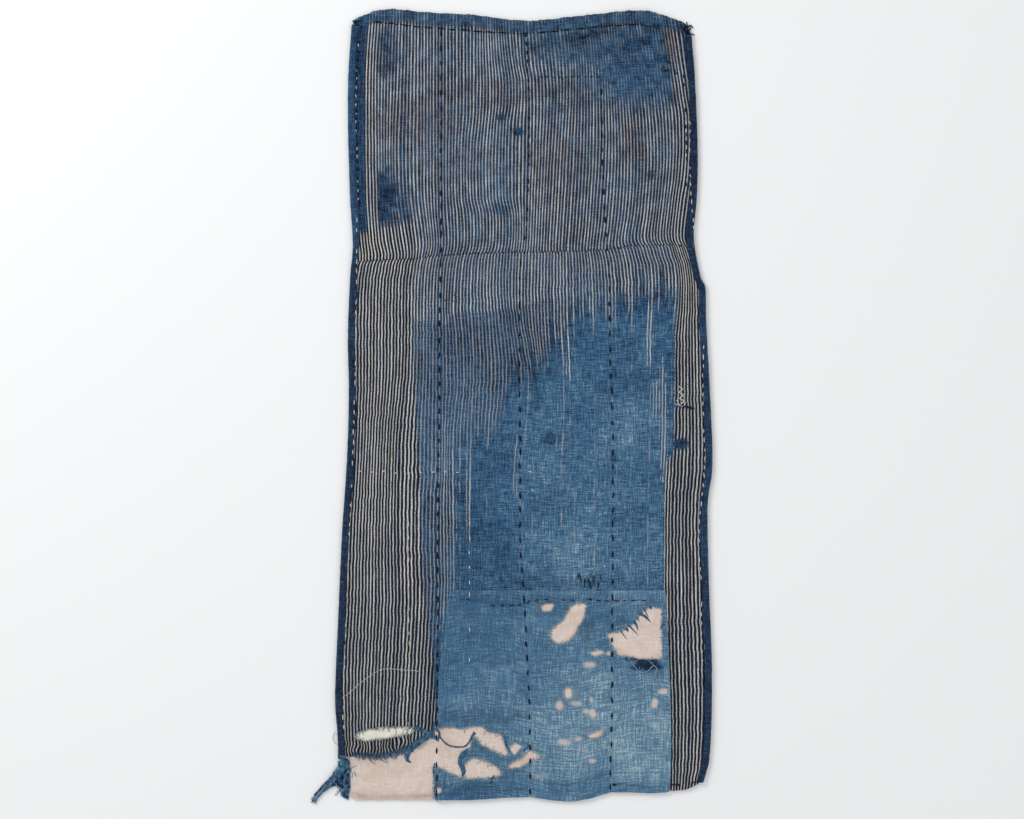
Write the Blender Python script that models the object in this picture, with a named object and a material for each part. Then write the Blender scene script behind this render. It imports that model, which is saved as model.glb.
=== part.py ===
"""Boro patched cloth, one loom width wide, lying flat and face up.

Metres, +Z up. X runs across the cloth, Y runs up its length, and the origin is on the surface that it
rests on, under the middle. Tables and constants are in millimetres and mesh code multiplies by MM.
"""

import math

import bmesh
import bpy
from mathutils import Vector, geometry

MM = 0.001

# Layers, from the surface up
BACKING_THICK = 1.0
CLOTH_THICK = 1.1
LAYER_GAP = 0.3
HEM_EXTRA = 0.8
TOP_HEM_WIDTH = 16.0
TOP_HEM_SLOPE = 6.0
FOOT_HEM_WIDTH = 11.0
FOOT_HEM_SLOPE = 5.0
FRONT_REST = BACKING_THICK + LAYER_GAP
SECOND_REST = FRONT_REST + CLOTH_THICK + LAYER_GAP

# Facets
CELL = 21.0
EDGE_STEP = 20.0
EDGE_CLEAR = 0.45  # inner points keep this share of a cell from every edge
LINE_CLEAR = 0.4  # and this share from every fold line

# Side bindings: a strip that starts on the surface, stands up the edge and folds over the front
BINDING_WIDTH = 7.5
BINDING_WALL = 1.0
SHOULDER_BEVEL = (1.0, 0.8)  # across and down, where the strip turns over the edge
FLAP_BEVEL = (1.0, 0.3)  # across and down, at the edge of the flap
FLAP_MARGIN = 1.5  # the fronts stay flat this far past the flap
FLAP_HEM_RUN = 8.0  # and the top hem rises to its height over this run
LEFT_BINDING_SPAN = (-361.0, 384.0)
RIGHT_BINDING_SPAN = (-385.0, 372.0)

# The long edges of the whole piece: (y, x)
LEFT_EDGE = (
    (-405.0, -177.0), (-361.0, -177.5), (-336.0, -178.0), (-303.0, -180.5), (-277.0, -180.0),
    (-208.0, -177.0), (-130.0, -173.5), (-55.0, -168.5), (12.0, -166.5), (71.0, -167.5),
    (134.0, -165.0), (163.0, -162.5), (217.0, -165.5), (318.0, -167.5), (384.0, -164.0),
    (405.0, -161.0),
)
RIGHT_EDGE = (
    (-405.0, 190.0), (-387.0, 194.5), (-359.0, 201.5), (-271.0, 204.0), (-185.0, 201.0),
    (-121.0, 199.5), (-96.0, 200.0), (-61.0, 204.5), (12.0, 202.0), (90.0, 198.0),
    (122.0, 197.0), (131.0, 192.5), (172.0, 185.5), (211.0, 188.5), (258.0, 189.5),
    (337.0, 186.5), (375.0, 183.5), (405.0, 182.0),
)

# The short edges: (x, y)
TOP_EDGE = (
    (-170.0, 390.0), (-161.0, 394.0), (-142.0, 403.0), (-117.0, 405.0), (-94.0, 402.0),
    (-40.0, 399.0), (11.0, 393.0), (61.0, 397.0), (115.0, 403.0), (136.0, 404.0),
    (174.0, 392.0), (190.0, 386.0),
)
BOTTOM_EDGE = (
    (-180.0, -402.0), (-165.0, -402.0), (-94.0, -402.0), (-40.0, -402.0), (-12.0, -400.0),
    (19.0, -399.0), (55.0, -404.0), (82.0, -400.0), (101.0, -394.0), (140.0, -395.0),
    (169.0, -393.0), (194.0, -387.0), (200.0, -380.0),
)
# The cross seam between the two striped panels: (x, y)
SEAM = (
    (-170.0, 147.0), (-104.0, 150.0), (-72.0, 154.0), (8.0, 157.0), (90.0, 159.0),
    (131.0, 164.0), (200.0, 163.0),
)
# The torn foot of the left leg of the lower cloth: (x, y)
TORN_FOOT = (
    (-179.0, -359.0), (-166.0, -358.0), (-154.0, -356.0), (-139.0, -359.0), (-120.0, -356.0),
    (-111.0, -355.0), (-102.0, -348.0), (-91.0, -340.0), (-80.0, -333.0),
)
FOOT_TIP = (-76.0, -325.0)

# Where the long edges of each cloth stop at its corners, as y at the left and at the right, and
# where its short edges start and stop, as x
BACKING_TOPS = (384.0, 380.0)
BACKING_FEET = (-350.0, -381.0)
BACKING_TOP_SPAN = (-158.0, 178.0)
BACKING_FOOT_SPAN = (-164.5, 191.7)
BACKING_NOTCH = (-359.0, -380.0)  # its left foot is cut straight between these heights
BACKING_SHORT_TOP = 1.0
BACKING_SHORT_FOOT = 0.5
UPPER_TOPS = (386.0, 382.0)
UPPER_TOP_SPAN = (-161.5, 177.0)
UPPER_LINE_TOPS = (384.0, 380.0)
LEFT_LEG_FEET = (-358.0, -316.0)  # its outer and its inner edge
RIGHT_LEG_FEET = (-393.0, -376.0)  # its inner and its outer edge
RIGHT_FOOT_X = 178.0
RIGHT_FOOT_CORNER = (190.0, -386.0)
LEG_LINE_FEET = (-350.0, -374.0)  # the fold lines beside the two flaps
LEFT_LEG_LINE_FOOT = -312.0  # the fold line beside the patch
LINE_MARGIN = 3.0  # fold lines stop this far short of the seam
SEAM_ENDS_NEAR = 155.0  # about the height where the seam meets the long edges
SEAM_END_TRIES = 4

# Quilting rows, which hold the front down between its puffs: (y, x)
ROWS = (
    ((-402.0, -76.5), (-90.0, -76.5), (-75.0, -74.0), (88.0, -74.0), (159.0, -72.5), (357.0, -72.5)),
    ((-399.0, 18.5), (-249.0, 15.0), (-188.0, 12.0), (-157.0, 8.0), (159.0, 8.0), (179.0, 17.0),
     (394.0, 12.0)),
    ((-387.0, 100.0), (-249.0, 102.0), (-24.0, 102.5), (128.0, 99.0), (195.0, 95.0), (327.0, 91.0)),
)
# How far the front puffs up in the four bays between the edges and the rows
PUFFS = (
    # y,     left, centre left, centre right, right
    (-400.0, 0.0, 0.0, 0.0, 0.0),
    (-372.0, 0.0, 0.9, 1.2, 0.6),
    (-300.0, 0.5, 1.5, 1.0, 0.9),
    (-235.0, 0.8, 1.1, 1.4, 0.7),
    (-150.0, 1.0, 1.5, 1.1, 1.2),
    (-60.0, 1.3, 1.0, 1.8, 1.0),
    (30.0, 0.9, 1.4, 1.2, 1.7),
    (110.0, 1.3, 1.9, 1.6, 1.2),
    (156.0, 0.5, 0.7, 0.6, 0.4),
    (200.0, 1.5, 1.2, 1.7, 1.3),
    (270.0, 1.8, 1.4, 1.1, 1.6),
    (340.0, 1.2, 1.6, 1.5, 1.0),
    (385.0, 0.6, 0.5, 0.8, 0.6),
)
CALM = 24.0  # the puffs fade out this far from an edge that another piece laps or butts

# The main creases, as soft ridges from one point to another
CREASES = (
    # name,                 x1,     y1,    x2,    y2,  half width, rise
    ("shoulder drag",    -130.0, 366.0, -112.0, 215.0, 30.0, 1.3),
    ("right lean",        140.0, 372.0,  158.0, 262.0, 28.0, 1.1),
    ("middle pleat",       18.0,  34.0,   26.0, -28.0, 26.0, 1.6),
    ("seam pucker left", -142.0, 133.0,  -92.0, 138.0, 24.0, 0.9),
    ("seam pucker mid",   -44.0, 176.0,   -8.0, 180.0, 26.0, 1.2),
    ("seam pucker right",  40.0, 138.0,   78.0, 142.0, 26.0, 1.3),
    ("above the patch",   -20.0, -163.0,  48.0, -160.0, 24.0, 1.2),
    ("patch belly",        40.0, -300.0,  76.0, -340.0, 30.0, 1.0),
    ("patch left fold",   -52.0, -262.0, -30.0, -294.0, 26.0, 1.1),
)

# The blue patch laps over the lower cloth at its left and top, and butts against the right leg
PATCH_TOP = -188.0
PATCH_LAP = 5.0
LAP_RAMP = 5.0
LAP_MARGIN = 2.0  # the lower cloth stays flat this far out from the patch
LEG_GAP = 0.35
PATCH_LAP_FLAT = PATCH_LAP + 1.0  # it stays up this far in from its edge before it drops
PATCH_LINE_MARGIN = 4.0
PATCH_LEFT_FOOT = -390.0
# Its two long edges: (y, x)
PATCH_LEFT_EDGE = (
    (-402.0, -79.0), (-330.0, -77.0), (-300.0, -76.0), (-258.0, -73.0), (-238.0, -70.0),
    (-188.0, -64.0),
)
PATCH_RIGHT_EDGE = (
    (-395.0, 160.5), (-370.0, 162.0), (-310.0, 162.0), (-275.0, 161.0), (-225.0, 158.5),
    (-188.0, 156.5),
)
# The torn bay in its left edge, with the tongue of cloth that is left in the middle of the bay,
# from the left edge round and back to it
TORN_BAY = (
    (-66, -327), (-52, -329), (-42, -326), (-31, -327), (-19, -334), (-11, -333), (-7, -344),
    (-3, -358), (-17, -354), (-32, -346), (-40, -335), (-41, -347), (-52, -356), (-49, -366),
    (-40, -357), (-30, -360), (-16, -366), (-9, -376), (-22, -380), (-46, -381), (-61, -376),
)
BAY_TOP = -328.0
BAY_BOTTOM = -367.0

# Worn holes, as short rings of points on their edges
HOLES = {
    "oval": ((60, -204), (68, -201), (76, -202), (74, -213), (66, -229), (58, -240), (47, -243),
             (39, -237), (41, -227), (52, -219)),
    "small top": ((29, -205), (35, -202), (42, -201), (41, -208), (34, -210)),
    "corner": ((96, -233), (110, -231), (122, -224), (128, -217), (135, -208), (144, -205),
               (153, -207), (152, -222), (153, -258), (134, -258), (108, -254), (103, -244)),
    "small triangle": ((-2, -350), (3, -343), (9, -348), (2, -356)),
    "bridge": ((-4, -366), (12, -358), (17, -351), (32, -358), (20, -361), (8, -369), (-3, -370)),
    "small round": ((79, -252), (88, -249), (94, -252), (84, -255)),
    "small drop": ((54, -288), (60, -287), (61, -297), (55, -299)),
    "crescent": ((77, -336), (88, -332), (95, -329), (91, -336), (80, -339)),
}
SLIT = ((-161, -337), (-152, -331), (-128, -328), (-106, -327), (-98, -331), (-112, -336),
        (-134, -339), (-152, -341))

# The cream cloth behind the slit: a small rectangle, the flat margin of the leg that is lifted
# around it, and the slope down from that
SLIT_PATCH_BOX = (-163.0, -346.0, -94.0, -322.0)
SLIT_LIFT_MARGIN = 1.5
SLIT_LIFT_SLOPE = 6.0
LAP_POINT_STEP = 11.0

# The torn corner: rumpled end and tail, with the heights of its crumples
RAG_OUTLINE = (
    (-166, -363), (-166, -374), (-165, -388), (-167, -402), (-173, -399), (-177, -388),
    (-185, -389), (-193, -395), (-200, -403), (-205, -405), (-202, -397), (-194, -387),
    (-185, -378), (-178, -370), (-178, -363),
)
RAG_CELL = 6.0
RAG_THICK = 2.2
RAG_RUMPLE = 1.1
RAG_RUMPLE_PITCH = 13.0

COLOURS = {
    # node: (red, green, blue, roughness)
    "backing": (0.62, 0.53, 0.47, 0.9),
    "upper_cloth": (0.075, 0.115, 0.18, 0.85),
    "lower_cloth": (0.05, 0.12, 0.24, 0.85),
    "blue_patch": (0.10, 0.21, 0.33, 0.85),
    "slit_patch": (0.72, 0.72, 0.58, 0.9),
    "binding_left": (0.022, 0.035, 0.085, 0.8),
    "binding_right": (0.022, 0.035, 0.085, 0.8),
    "torn_rag": (0.03, 0.055, 0.11, 0.85),
}


def clear_scene():
    for found in list(bpy.data.objects):
        bpy.data.objects.remove(found, do_unlink=True)


def along(table, at):
    """The second column of a two-column table where the first is at, on a smooth curve."""
    rows = sorted(table)
    at = min(max(at, rows[0][0]), rows[-1][0])
    last = len(rows) - 1
    k = max(i for i in range(last) if rows[i][0] <= at)
    low, high = rows[k], rows[k + 1]
    before, after = rows[max(k - 1, 0)], rows[min(k + 2, last)]
    run = high[0] - low[0]
    slope_low = (high[1] - before[1]) / (high[0] - before[0]) * run
    slope_high = (after[1] - low[1]) / (after[0] - low[0]) * run
    t = (at - low[0]) / run
    return (
        low[1] * (2 * t**3 - 3 * t**2 + 1)
        + slope_low * (t**3 - 2 * t**2 + t)
        + high[1] * (3 * t**2 - 2 * t**3)
        + slope_high * (t**3 - t**2)
    )


def facet_along(table, at):
    """The same curve as straight facets between stations, which neighbouring pieces share."""
    k = math.floor(at / EDGE_STEP)
    low, high = along(table, k * EDGE_STEP), along(table, (k + 1) * EDGE_STEP)
    return low + (high - low) * (at / EDGE_STEP - k)


def ease(value):
    """0 below 0, 1 above 1 and a soft step between."""
    value = min(max(value, 0.0), 1.0)
    return value * value * (3 - 2 * value)


def steps(start, end, step):
    """Evenly spread values from start to end, about step apart."""
    count = max(1, round(abs(end - start) / step))
    return [start + (end - start) * i / count for i in range(count + 1)]


def stations(start, end):
    """Start, end and the shared stations between them."""
    low, high = min(start, end), max(start, end)
    between = range(math.ceil((low + 2.0) / EDGE_STEP), math.floor((high - 2.0) / EDGE_STEP) + 1)
    found = [low] + [k * EDGE_STEP for k in between] + [high]
    return found if start < end else found[::-1]


def inside(x, y, ring):
    """Whether a point is in a ring of points."""
    found = False
    for (x1, y1), (x2, y2) in zip(ring, ring[1:] + ring[:1]):
        if (y1 > y) != (y2 > y) and x < x1 + (y - y1) * (x2 - x1) / (y2 - y1):
            found = not found
    return found


def to_segment(x, y, x1, y1, x2, y2):
    """How far a point is from the line between two others."""
    dx, dy = x2 - x1, y2 - y1
    t = ((x - x1) * dx + (y - y1) * dy) / (dx * dx + dy * dy)
    t = min(max(t, 0.0), 1.0)
    return math.hypot(x - x1 - t * dx, y - y1 - t * dy)


def to_ring(x, y, ring):
    return min(to_segment(x, y, *a, *b) for a, b in zip(ring, ring[1:] + ring[:1]))


def puff(x, y):
    """How far the front stands off the backing between its quilting rows."""
    lines = [along(LEFT_EDGE, y)] + [along(row, y) for row in ROWS] + [along(RIGHT_EDGE, y)]
    rise = 0.0
    for bay in range(4):
        low, high = lines[bay], lines[bay + 1]
        if low < x < high:
            most = along(tuple((row[0], row[bay + 1]) for row in PUFFS), y)
            rise = max(most, 0.0) * math.sin(math.pi * (x - low) / (high - low))
    for _, x1, y1, x2, y2, half_width, height in CREASES:
        away = to_segment(x, y, x1, y1, x2, y2) / half_width
        if away < 1:
            rise += height * (1 - away * away) ** 2
    return rise


def binding_room(x, y):
    """How far a point is from the folded flap of the nearer binding."""
    return min(x - along(LEFT_EDGE, y), along(RIGHT_EDGE, y) - x) - BINDING_WIDTH


def calm(x, y):
    """0 at the long edges and at the edges of the patch, and 1 well away from them."""
    room = binding_room(x, y) - FLAP_MARGIN
    if y < PATCH_TOP + CALM + CELL:
        patch_left, patch_right = along(PATCH_LEFT_EDGE, y), along(PATCH_RIGHT_EDGE, y)
        room = min(room, abs(x - patch_right), abs(x - patch_left) - PATCH_LAP)
        if patch_left < x < patch_right:
            room = min(room, abs(y - PATCH_TOP) - PATCH_LAP)
    return ease(room / CALM)


def slit_lift(x, y):
    """The leg stands up by one layer over the cream cloth behind its slit."""
    low_x, low_y, high_x, high_y = SLIT_PATCH_BOX
    away = max(low_x - x, x - high_x, low_y - y, y - high_y)
    return (SECOND_REST - FRONT_REST) * (1 - ease((away - SLIT_LIFT_MARGIN) / SLIT_LIFT_SLOPE))


def front_under(x, y):
    return FRONT_REST + puff(x, y) * calm(x, y)


def leg_under(x, y):
    return front_under(x, y) + slit_lift(x, y)


def patch_under(x, y):
    """The patch lies on the lower cloth along its left and top, then drops to the backing."""
    from_edge = min(x - facet_along(PATCH_LEFT_EDGE, y), PATCH_TOP - y)
    drop = ease((from_edge - PATCH_LAP_FLAT) / LAP_RAMP)
    return front_under(x, y) + (SECOND_REST - FRONT_REST) * (1 - drop)


def upper_top(x, y):
    """The upper cloth is double in its turned top hem."""
    hem = ease((y - along(TOP_EDGE, x) + TOP_HEM_WIDTH) / TOP_HEM_SLOPE)
    clear = ease((binding_room(x, y) - FLAP_MARGIN) / FLAP_HEM_RUN)
    return front_under(x, y) + CLOTH_THICK + HEM_EXTRA * hem * clear


def lower_top(x, y):
    return leg_under(x, y) + CLOTH_THICK


def patch_top(x, y):
    """The patch is double in its turned bottom hem."""
    hem = ease((along(BOTTOM_EDGE, x) + FOOT_HEM_WIDTH - y) / FOOT_HEM_SLOPE)
    return patch_under(x, y) + CLOTH_THICK + HEM_EXTRA * hem


def material_for(name):
    red, green, blue, roughness = COLOURS[name]
    material = bpy.data.materials.new(name)
    material.use_nodes = True
    shader = material.node_tree.nodes["Principled BSDF"]
    shader.inputs["Base Color"].default_value = (red, green, blue, 1.0)
    shader.inputs["Roughness"].default_value = roughness
    shader.inputs["Metallic"].default_value = 0.0
    return material


def finish_object(name, shape):
    """Turns a bmesh into an object with its own material and outward faces."""
    bmesh.ops.recalc_face_normals(shape, faces=shape.faces)
    mesh = bpy.data.meshes.new(name)
    shape.to_mesh(mesh)
    shape.free()
    mesh.materials.append(material_for(name))
    made = bpy.data.objects.new(name, mesh)
    bpy.context.scene.collection.objects.link(made)
    return made


def fill_points(ring, holes, lines, cell):
    """Staggered points inside a ring and clear of its edges, holes and fold lines."""
    xs = [p[0] for p in ring]
    ys = [p[1] for p in ring]
    found = []
    rise = cell * math.sqrt(3) / 2
    for j, y in enumerate(steps(min(ys) + rise / 2, max(ys) - rise / 2, rise)):
        shift = cell / 2 if j % 2 else 0.0
        for x in steps(min(xs) + shift, max(xs), cell):
            if not inside(x, y, ring) or any(inside(x, y, hole) for hole in holes):
                continue
            if min(to_ring(x, y, r) for r in [ring, *holes]) < EDGE_CLEAR * cell:
                continue
            near = LINE_CLEAR * cell
            if any(math.hypot(x - p[0], y - p[1]) < near for line in lines for p in line):
                continue
            found.append((x, y))
    return found


def sheet_solid(name, ring, holes, under, top, cell=CELL, lines=()):
    """One closed sheet: the area in a ring and out of its holes, from height under to height top.

    Facets keep to the fold lines, and a hole's or a ring's last point joins its first.
    """
    points, edges = [], []
    for loop in [ring, *holes]:
        first = len(points)
        points += loop
        edges += [(first + i, first + (i + 1) % len(loop)) for i in range(len(loop))]
    for line in lines:
        first = len(points)
        points += line
        edges += [(first + i, first + i + 1) for i in range(len(line) - 1)]
    points += fill_points(ring, holes, lines, cell)
    flat = geometry.delaunay_2d_cdt([Vector(p) for p in points], edges, [], 0, 1e-4, False)
    places, triangles = flat[0], flat[2]
    shape = bmesh.new()
    below = [shape.verts.new((p.x * MM, p.y * MM, under(p.x, p.y) * MM)) for p in places]
    above = [shape.verts.new((p.x * MM, p.y * MM, top(p.x, p.y) * MM)) for p in places]
    borders = {}
    for corners in triangles:
        x = sum(places[i].x for i in corners) / 3
        y = sum(places[i].y for i in corners) / 3
        if not inside(x, y, ring) or any(inside(x, y, hole) for hole in holes):
            continue
        shape.faces.new([above[i] for i in corners])
        shape.faces.new([below[i] for i in reversed(corners)])
        for a, b in zip(corners, corners[1:] + corners[:1]):
            if borders.pop((b, a), None) is None:
                borders[(a, b)] = True
    for a, b in borders:
        shape.faces.new([below[a], below[b], above[b], above[a]])
    loose = [v for v in shape.verts if not v.link_faces]
    bmesh.ops.delete(shape, geom=loose, context="VERTS")
    return finish_object(name, shape)


def side_points(table, low, high, inset):
    """Points up a long edge, moved into the cloth by inset."""
    return [(facet_along(table, y) + inset, y) for y in stations(low, high)]


def end_points(table, start, end, inset):
    """Points along a short edge or seam, moved up by inset."""
    return [(x, facet_along(table, x) + inset) for x in stations(start, end)]


def flap_line(table, low, high, side):
    """A line in a front cloth beside the flap of a binding; side is 1 at the left, -1 at the right."""
    return side_points(table, low, high, side * (BINDING_WIDTH + FLAP_MARGIN))


def front_inset():
    """How far a front cloth's edge is from the outside of its binding."""
    return BINDING_WALL + LAYER_GAP


def seam_ends(shift):
    """Where the cross seam, moved up by shift, meets the bindings: its left and right points."""
    ends = []
    for table, inset in ((LEFT_EDGE, front_inset()), (RIGHT_EDGE, -front_inset())):
        y = SEAM_ENDS_NEAR
        for _ in range(SEAM_END_TRIES):
            x = facet_along(table, y) + inset
            y = facet_along(SEAM, x) + shift
        ends.append((x, y))
    return ends


def make_backing():
    """The lining: flat on the surface, with its whole underside touching it."""
    inset = front_inset()
    foot_left, foot_right = BACKING_FOOT_SPAN
    top_left, top_right = BACKING_TOP_SPAN
    ring = (
        end_points(BOTTOM_EDGE, foot_left, foot_right, BACKING_SHORT_FOOT)
        + side_points(RIGHT_EDGE, BACKING_FEET[1], BACKING_TOPS[1], -inset)
        + end_points(TOP_EDGE, top_right, top_left, -BACKING_SHORT_TOP)
        + side_points(LEFT_EDGE, BACKING_TOPS[0], BACKING_FEET[0], inset)
        + [(foot_left, y) for y in BACKING_NOTCH]
    )
    return sheet_solid(
        "backing", ring, [], lambda x, y: 0.0, lambda x, y: BACKING_THICK, cell=4 * CELL
    )


def make_upper_cloth():
    inset = front_inset()
    half_seam = LAYER_GAP / 2
    low_left, low_right = seam_ends(half_seam)
    ring = (
        end_points(SEAM, low_left[0], low_right[0], half_seam)
        + side_points(RIGHT_EDGE, low_right[1], UPPER_TOPS[1], -inset)[1:]
        + end_points(TOP_EDGE, UPPER_TOP_SPAN[1], UPPER_TOP_SPAN[0], 0.0)
        + side_points(LEFT_EDGE, UPPER_TOPS[0], low_left[1], inset)[:-1]
    )
    lines = [
        flap_line(LEFT_EDGE, low_left[1] + LINE_MARGIN, UPPER_LINE_TOPS[0], 1),
        flap_line(RIGHT_EDGE, low_right[1] + LINE_MARGIN, UPPER_LINE_TOPS[1], -1),
    ]
    return sheet_solid("upper_cloth", ring, [], front_under, upper_top, lines=lines)


def make_lower_cloth():
    inset = front_inset()
    half_seam = LAYER_GAP / 2
    high_left, high_right = seam_ends(-half_seam)
    foot_left = facet_along(LEFT_EDGE, LEFT_LEG_FEET[0]) + inset
    lap_top = PATCH_TOP - PATCH_LAP
    leg_left = side_points(PATCH_LEFT_EDGE, LEFT_LEG_FEET[1], lap_top, PATCH_LAP)
    leg_right = side_points(PATCH_RIGHT_EDGE, lap_top, RIGHT_LEG_FEET[0], LEG_GAP)
    ring = (
        end_points(TORN_FOOT, foot_left, TORN_FOOT[-1][0], 0.0)
        + [FOOT_TIP]
        + leg_left
        + [(x, lap_top) for x in steps(leg_left[-1][0], leg_right[0][0], EDGE_STEP)[1:-1]]
        + leg_right
        + [(RIGHT_FOOT_X, along(BOTTOM_EDGE, RIGHT_FOOT_X)), RIGHT_FOOT_CORNER]
        + side_points(RIGHT_EDGE, RIGHT_LEG_FEET[1], high_right[1], -inset)
        + end_points(SEAM, high_right[0], high_left[0], -half_seam)[1:]
        + side_points(LEFT_EDGE, high_left[1], LEFT_LEG_FEET[0], inset)[1:-1]
    )
    beside_patch = side_points(PATCH_LEFT_EDGE, LEFT_LEG_LINE_FOOT, PATCH_TOP, -LAP_MARGIN)
    above_patch = PATCH_TOP + LAP_MARGIN
    lines = [
        beside_patch[:-1]
        + [(x, above_patch) for x in steps(beside_patch[-1][0], leg_right[0][0], EDGE_STEP)],
        flap_line(LEFT_EDGE, LEG_LINE_FEET[0], high_left[1] - LINE_MARGIN, 1),
        flap_line(RIGHT_EDGE, LEG_LINE_FEET[1], high_right[1] - LINE_MARGIN, -1),
        slit_patch_ring(SLIT_LIFT_MARGIN),
        slit_patch_ring(SLIT_LIFT_MARGIN + SLIT_LIFT_SLOPE),
    ]
    return sheet_solid("lower_cloth", ring, [list(SLIT)], leg_under, lower_top, lines=lines)


def make_blue_patch():
    laps = (PATCH_LAP_FLAT, PATCH_LAP_FLAT + LAP_RAMP)
    top_left, top_right = along(PATCH_LEFT_EDGE, PATCH_TOP), along(PATCH_RIGHT_EDGE, PATCH_TOP)
    low_left, low_right = PATCH_LEFT_EDGE[0][1], PATCH_RIGHT_EDGE[0][1]
    right_side = side_points(PATCH_RIGHT_EDGE, along(BOTTOM_EDGE, low_right), PATCH_TOP - laps[1], 0.0)
    ring = (
        end_points(BOTTOM_EDGE, low_left, low_right, 0.0)
        + right_side[1:]
        + [(facet_along(PATCH_RIGHT_EDGE, PATCH_TOP - laps[0]), PATCH_TOP - laps[0])]
        + [(x, PATCH_TOP) for x in steps(top_right, top_left, EDGE_STEP)]
        + side_points(PATCH_LEFT_EDGE, PATCH_TOP, BAY_TOP, 0.0)[1:]
        + [(float(x), float(y)) for x, y in TORN_BAY]
        + side_points(PATCH_LEFT_EDGE, BAY_BOTTOM, PATCH_LEFT_FOOT, 0.0)
    )
    # Two fold lines along the lap, where the patch starts to drop and where it is down
    lines = []
    for back in laps:
        left = side_points(PATCH_LEFT_EDGE, BAY_TOP + PATCH_LINE_MARGIN, PATCH_TOP - back, back)
        start, height = left[-1]
        end = top_right - PATCH_LINE_MARGIN
        lines.append(left)
        lines.append([(x, height) for x in steps(start, end, LAP_POINT_STEP)])
    holes = [list(hole) for hole in HOLES.values()]
    return sheet_solid("blue_patch", ring, holes, patch_under, patch_top, lines=lines)


def slit_patch_ring(out):
    """A closed line around the cream cloth, out from its edge."""
    low_x, low_y, high_x, high_y = SLIT_PATCH_BOX
    xs = steps(low_x - out, high_x + out, LAP_POINT_STEP)
    ys = steps(low_y - out, high_y + out, LAP_POINT_STEP)
    around = [(x, ys[0]) for x in xs[:-1]] + [(xs[-1], y) for y in ys[:-1]]
    around += [(x, ys[-1]) for x in xs[:0:-1]] + [(xs[0], y) for y in ys[:0:-1]]
    return around + around[:1]


def make_slit_patch():
    ring = slit_patch_ring(0.0)[:-1]
    top = FRONT_REST + CLOTH_THICK
    return sheet_solid("slit_patch", ring, [], lambda x, y: FRONT_REST, lambda x, y: top)


def make_binding(name, table, span, inward):
    """A folded strip: up from the surface outside the cloth's edge and over its front."""
    low = SECOND_REST
    high = low + CLOTH_THICK
    flap_across, flap_down = FLAP_BEVEL
    shoulder_across, shoulder_down = SHOULDER_BEVEL
    profile = (
        (0.0, 0.0), (BINDING_WALL, 0.0), (BINDING_WALL, low), (BINDING_WIDTH, low),
        (BINDING_WIDTH, high - flap_down), (BINDING_WIDTH - flap_across, high),
        (shoulder_across, high), (0.0, high - shoulder_down),
    )
    shape = bmesh.new()
    rings = []
    for y in stations(*span):
        edge = facet_along(table, y)
        rings.append(
            [shape.verts.new(((edge + inward * x) * MM, y * MM, z * MM)) for x, z in profile]
        )
    for ring, other in zip(rings, rings[1:]):
        for k in range(len(profile)):
            after = (k + 1) % len(profile)
            shape.faces.new([ring[k], ring[after], other[after], other[k]])
    shape.faces.new(rings[0])
    shape.faces.new(rings[-1])
    return finish_object(name, shape)


def make_torn_rag():
    """The torn end of the left side, crumpled on the surface, with its tail."""
    ring = [tuple(float(v) for v in p) for p in RAG_OUTLINE]

    def top(x, y):
        fade = ease(to_ring(x, y, ring) / RAG_CELL)
        wave = math.sin(2 * math.pi * (x + 0.6 * y) / RAG_RUMPLE_PITCH)
        return RAG_THICK + RAG_RUMPLE * fade * (1 + wave) / 2

    return sheet_solid("torn_rag", ring, [], lambda x, y: 0.0, top, cell=RAG_CELL)


def main():
    clear_scene()
    make_backing()
    make_upper_cloth()
    make_lower_cloth()
    make_blue_patch()
    make_slit_patch()
    make_binding("binding_left", LEFT_EDGE, LEFT_BINDING_SPAN, 1)
    make_binding("binding_right", RIGHT_EDGE, RIGHT_BINDING_SPAN, -1)
    make_torn_rag()
    bpy.context.view_layer.update()
    total = 0
    for made in bpy.data.objects:
        count = sum(len(face.vertices) - 2 for face in made.data.polygons)
        total += count
        print(made.name, count, "triangles", [round(v, 4) for v in made.dimensions])
    print("all", total, "triangles")


main()
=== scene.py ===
# %% [markdown]
# # A boro patched cloth
# The real thing is one loom width of hand-spun cotton, mended until little of it is plain. Two striped
# indigo cloths meet at a cross seam, a faded blue patch is let in at the foot, a pale lining shows
# through its worn holes, and the long edges are bound with navy strips. It lies flat, face up.
# All tables here are in millimetres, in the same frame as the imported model.

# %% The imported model
import math

import bmesh
import bpy
import numpy as np
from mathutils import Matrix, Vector, geometry, kdtree
from mathutils.bvhtree import BVHTree


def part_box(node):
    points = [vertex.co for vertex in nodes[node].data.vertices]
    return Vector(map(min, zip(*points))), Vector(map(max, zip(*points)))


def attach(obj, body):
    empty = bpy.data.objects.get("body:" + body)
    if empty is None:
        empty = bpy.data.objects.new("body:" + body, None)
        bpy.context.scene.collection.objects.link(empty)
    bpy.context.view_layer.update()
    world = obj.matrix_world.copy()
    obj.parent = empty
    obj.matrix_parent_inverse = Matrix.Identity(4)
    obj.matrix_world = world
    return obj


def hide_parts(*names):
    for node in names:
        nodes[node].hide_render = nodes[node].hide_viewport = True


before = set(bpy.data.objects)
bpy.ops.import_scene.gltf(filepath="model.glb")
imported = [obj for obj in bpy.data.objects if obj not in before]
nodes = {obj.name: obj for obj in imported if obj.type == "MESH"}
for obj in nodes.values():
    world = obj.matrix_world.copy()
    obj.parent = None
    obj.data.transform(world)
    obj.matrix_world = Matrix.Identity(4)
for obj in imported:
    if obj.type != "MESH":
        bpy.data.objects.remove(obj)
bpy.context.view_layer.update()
scene = bpy.context.scene
MM = 0.001
TAU = 2 * math.pi
print("nodes", sorted(nodes))
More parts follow.
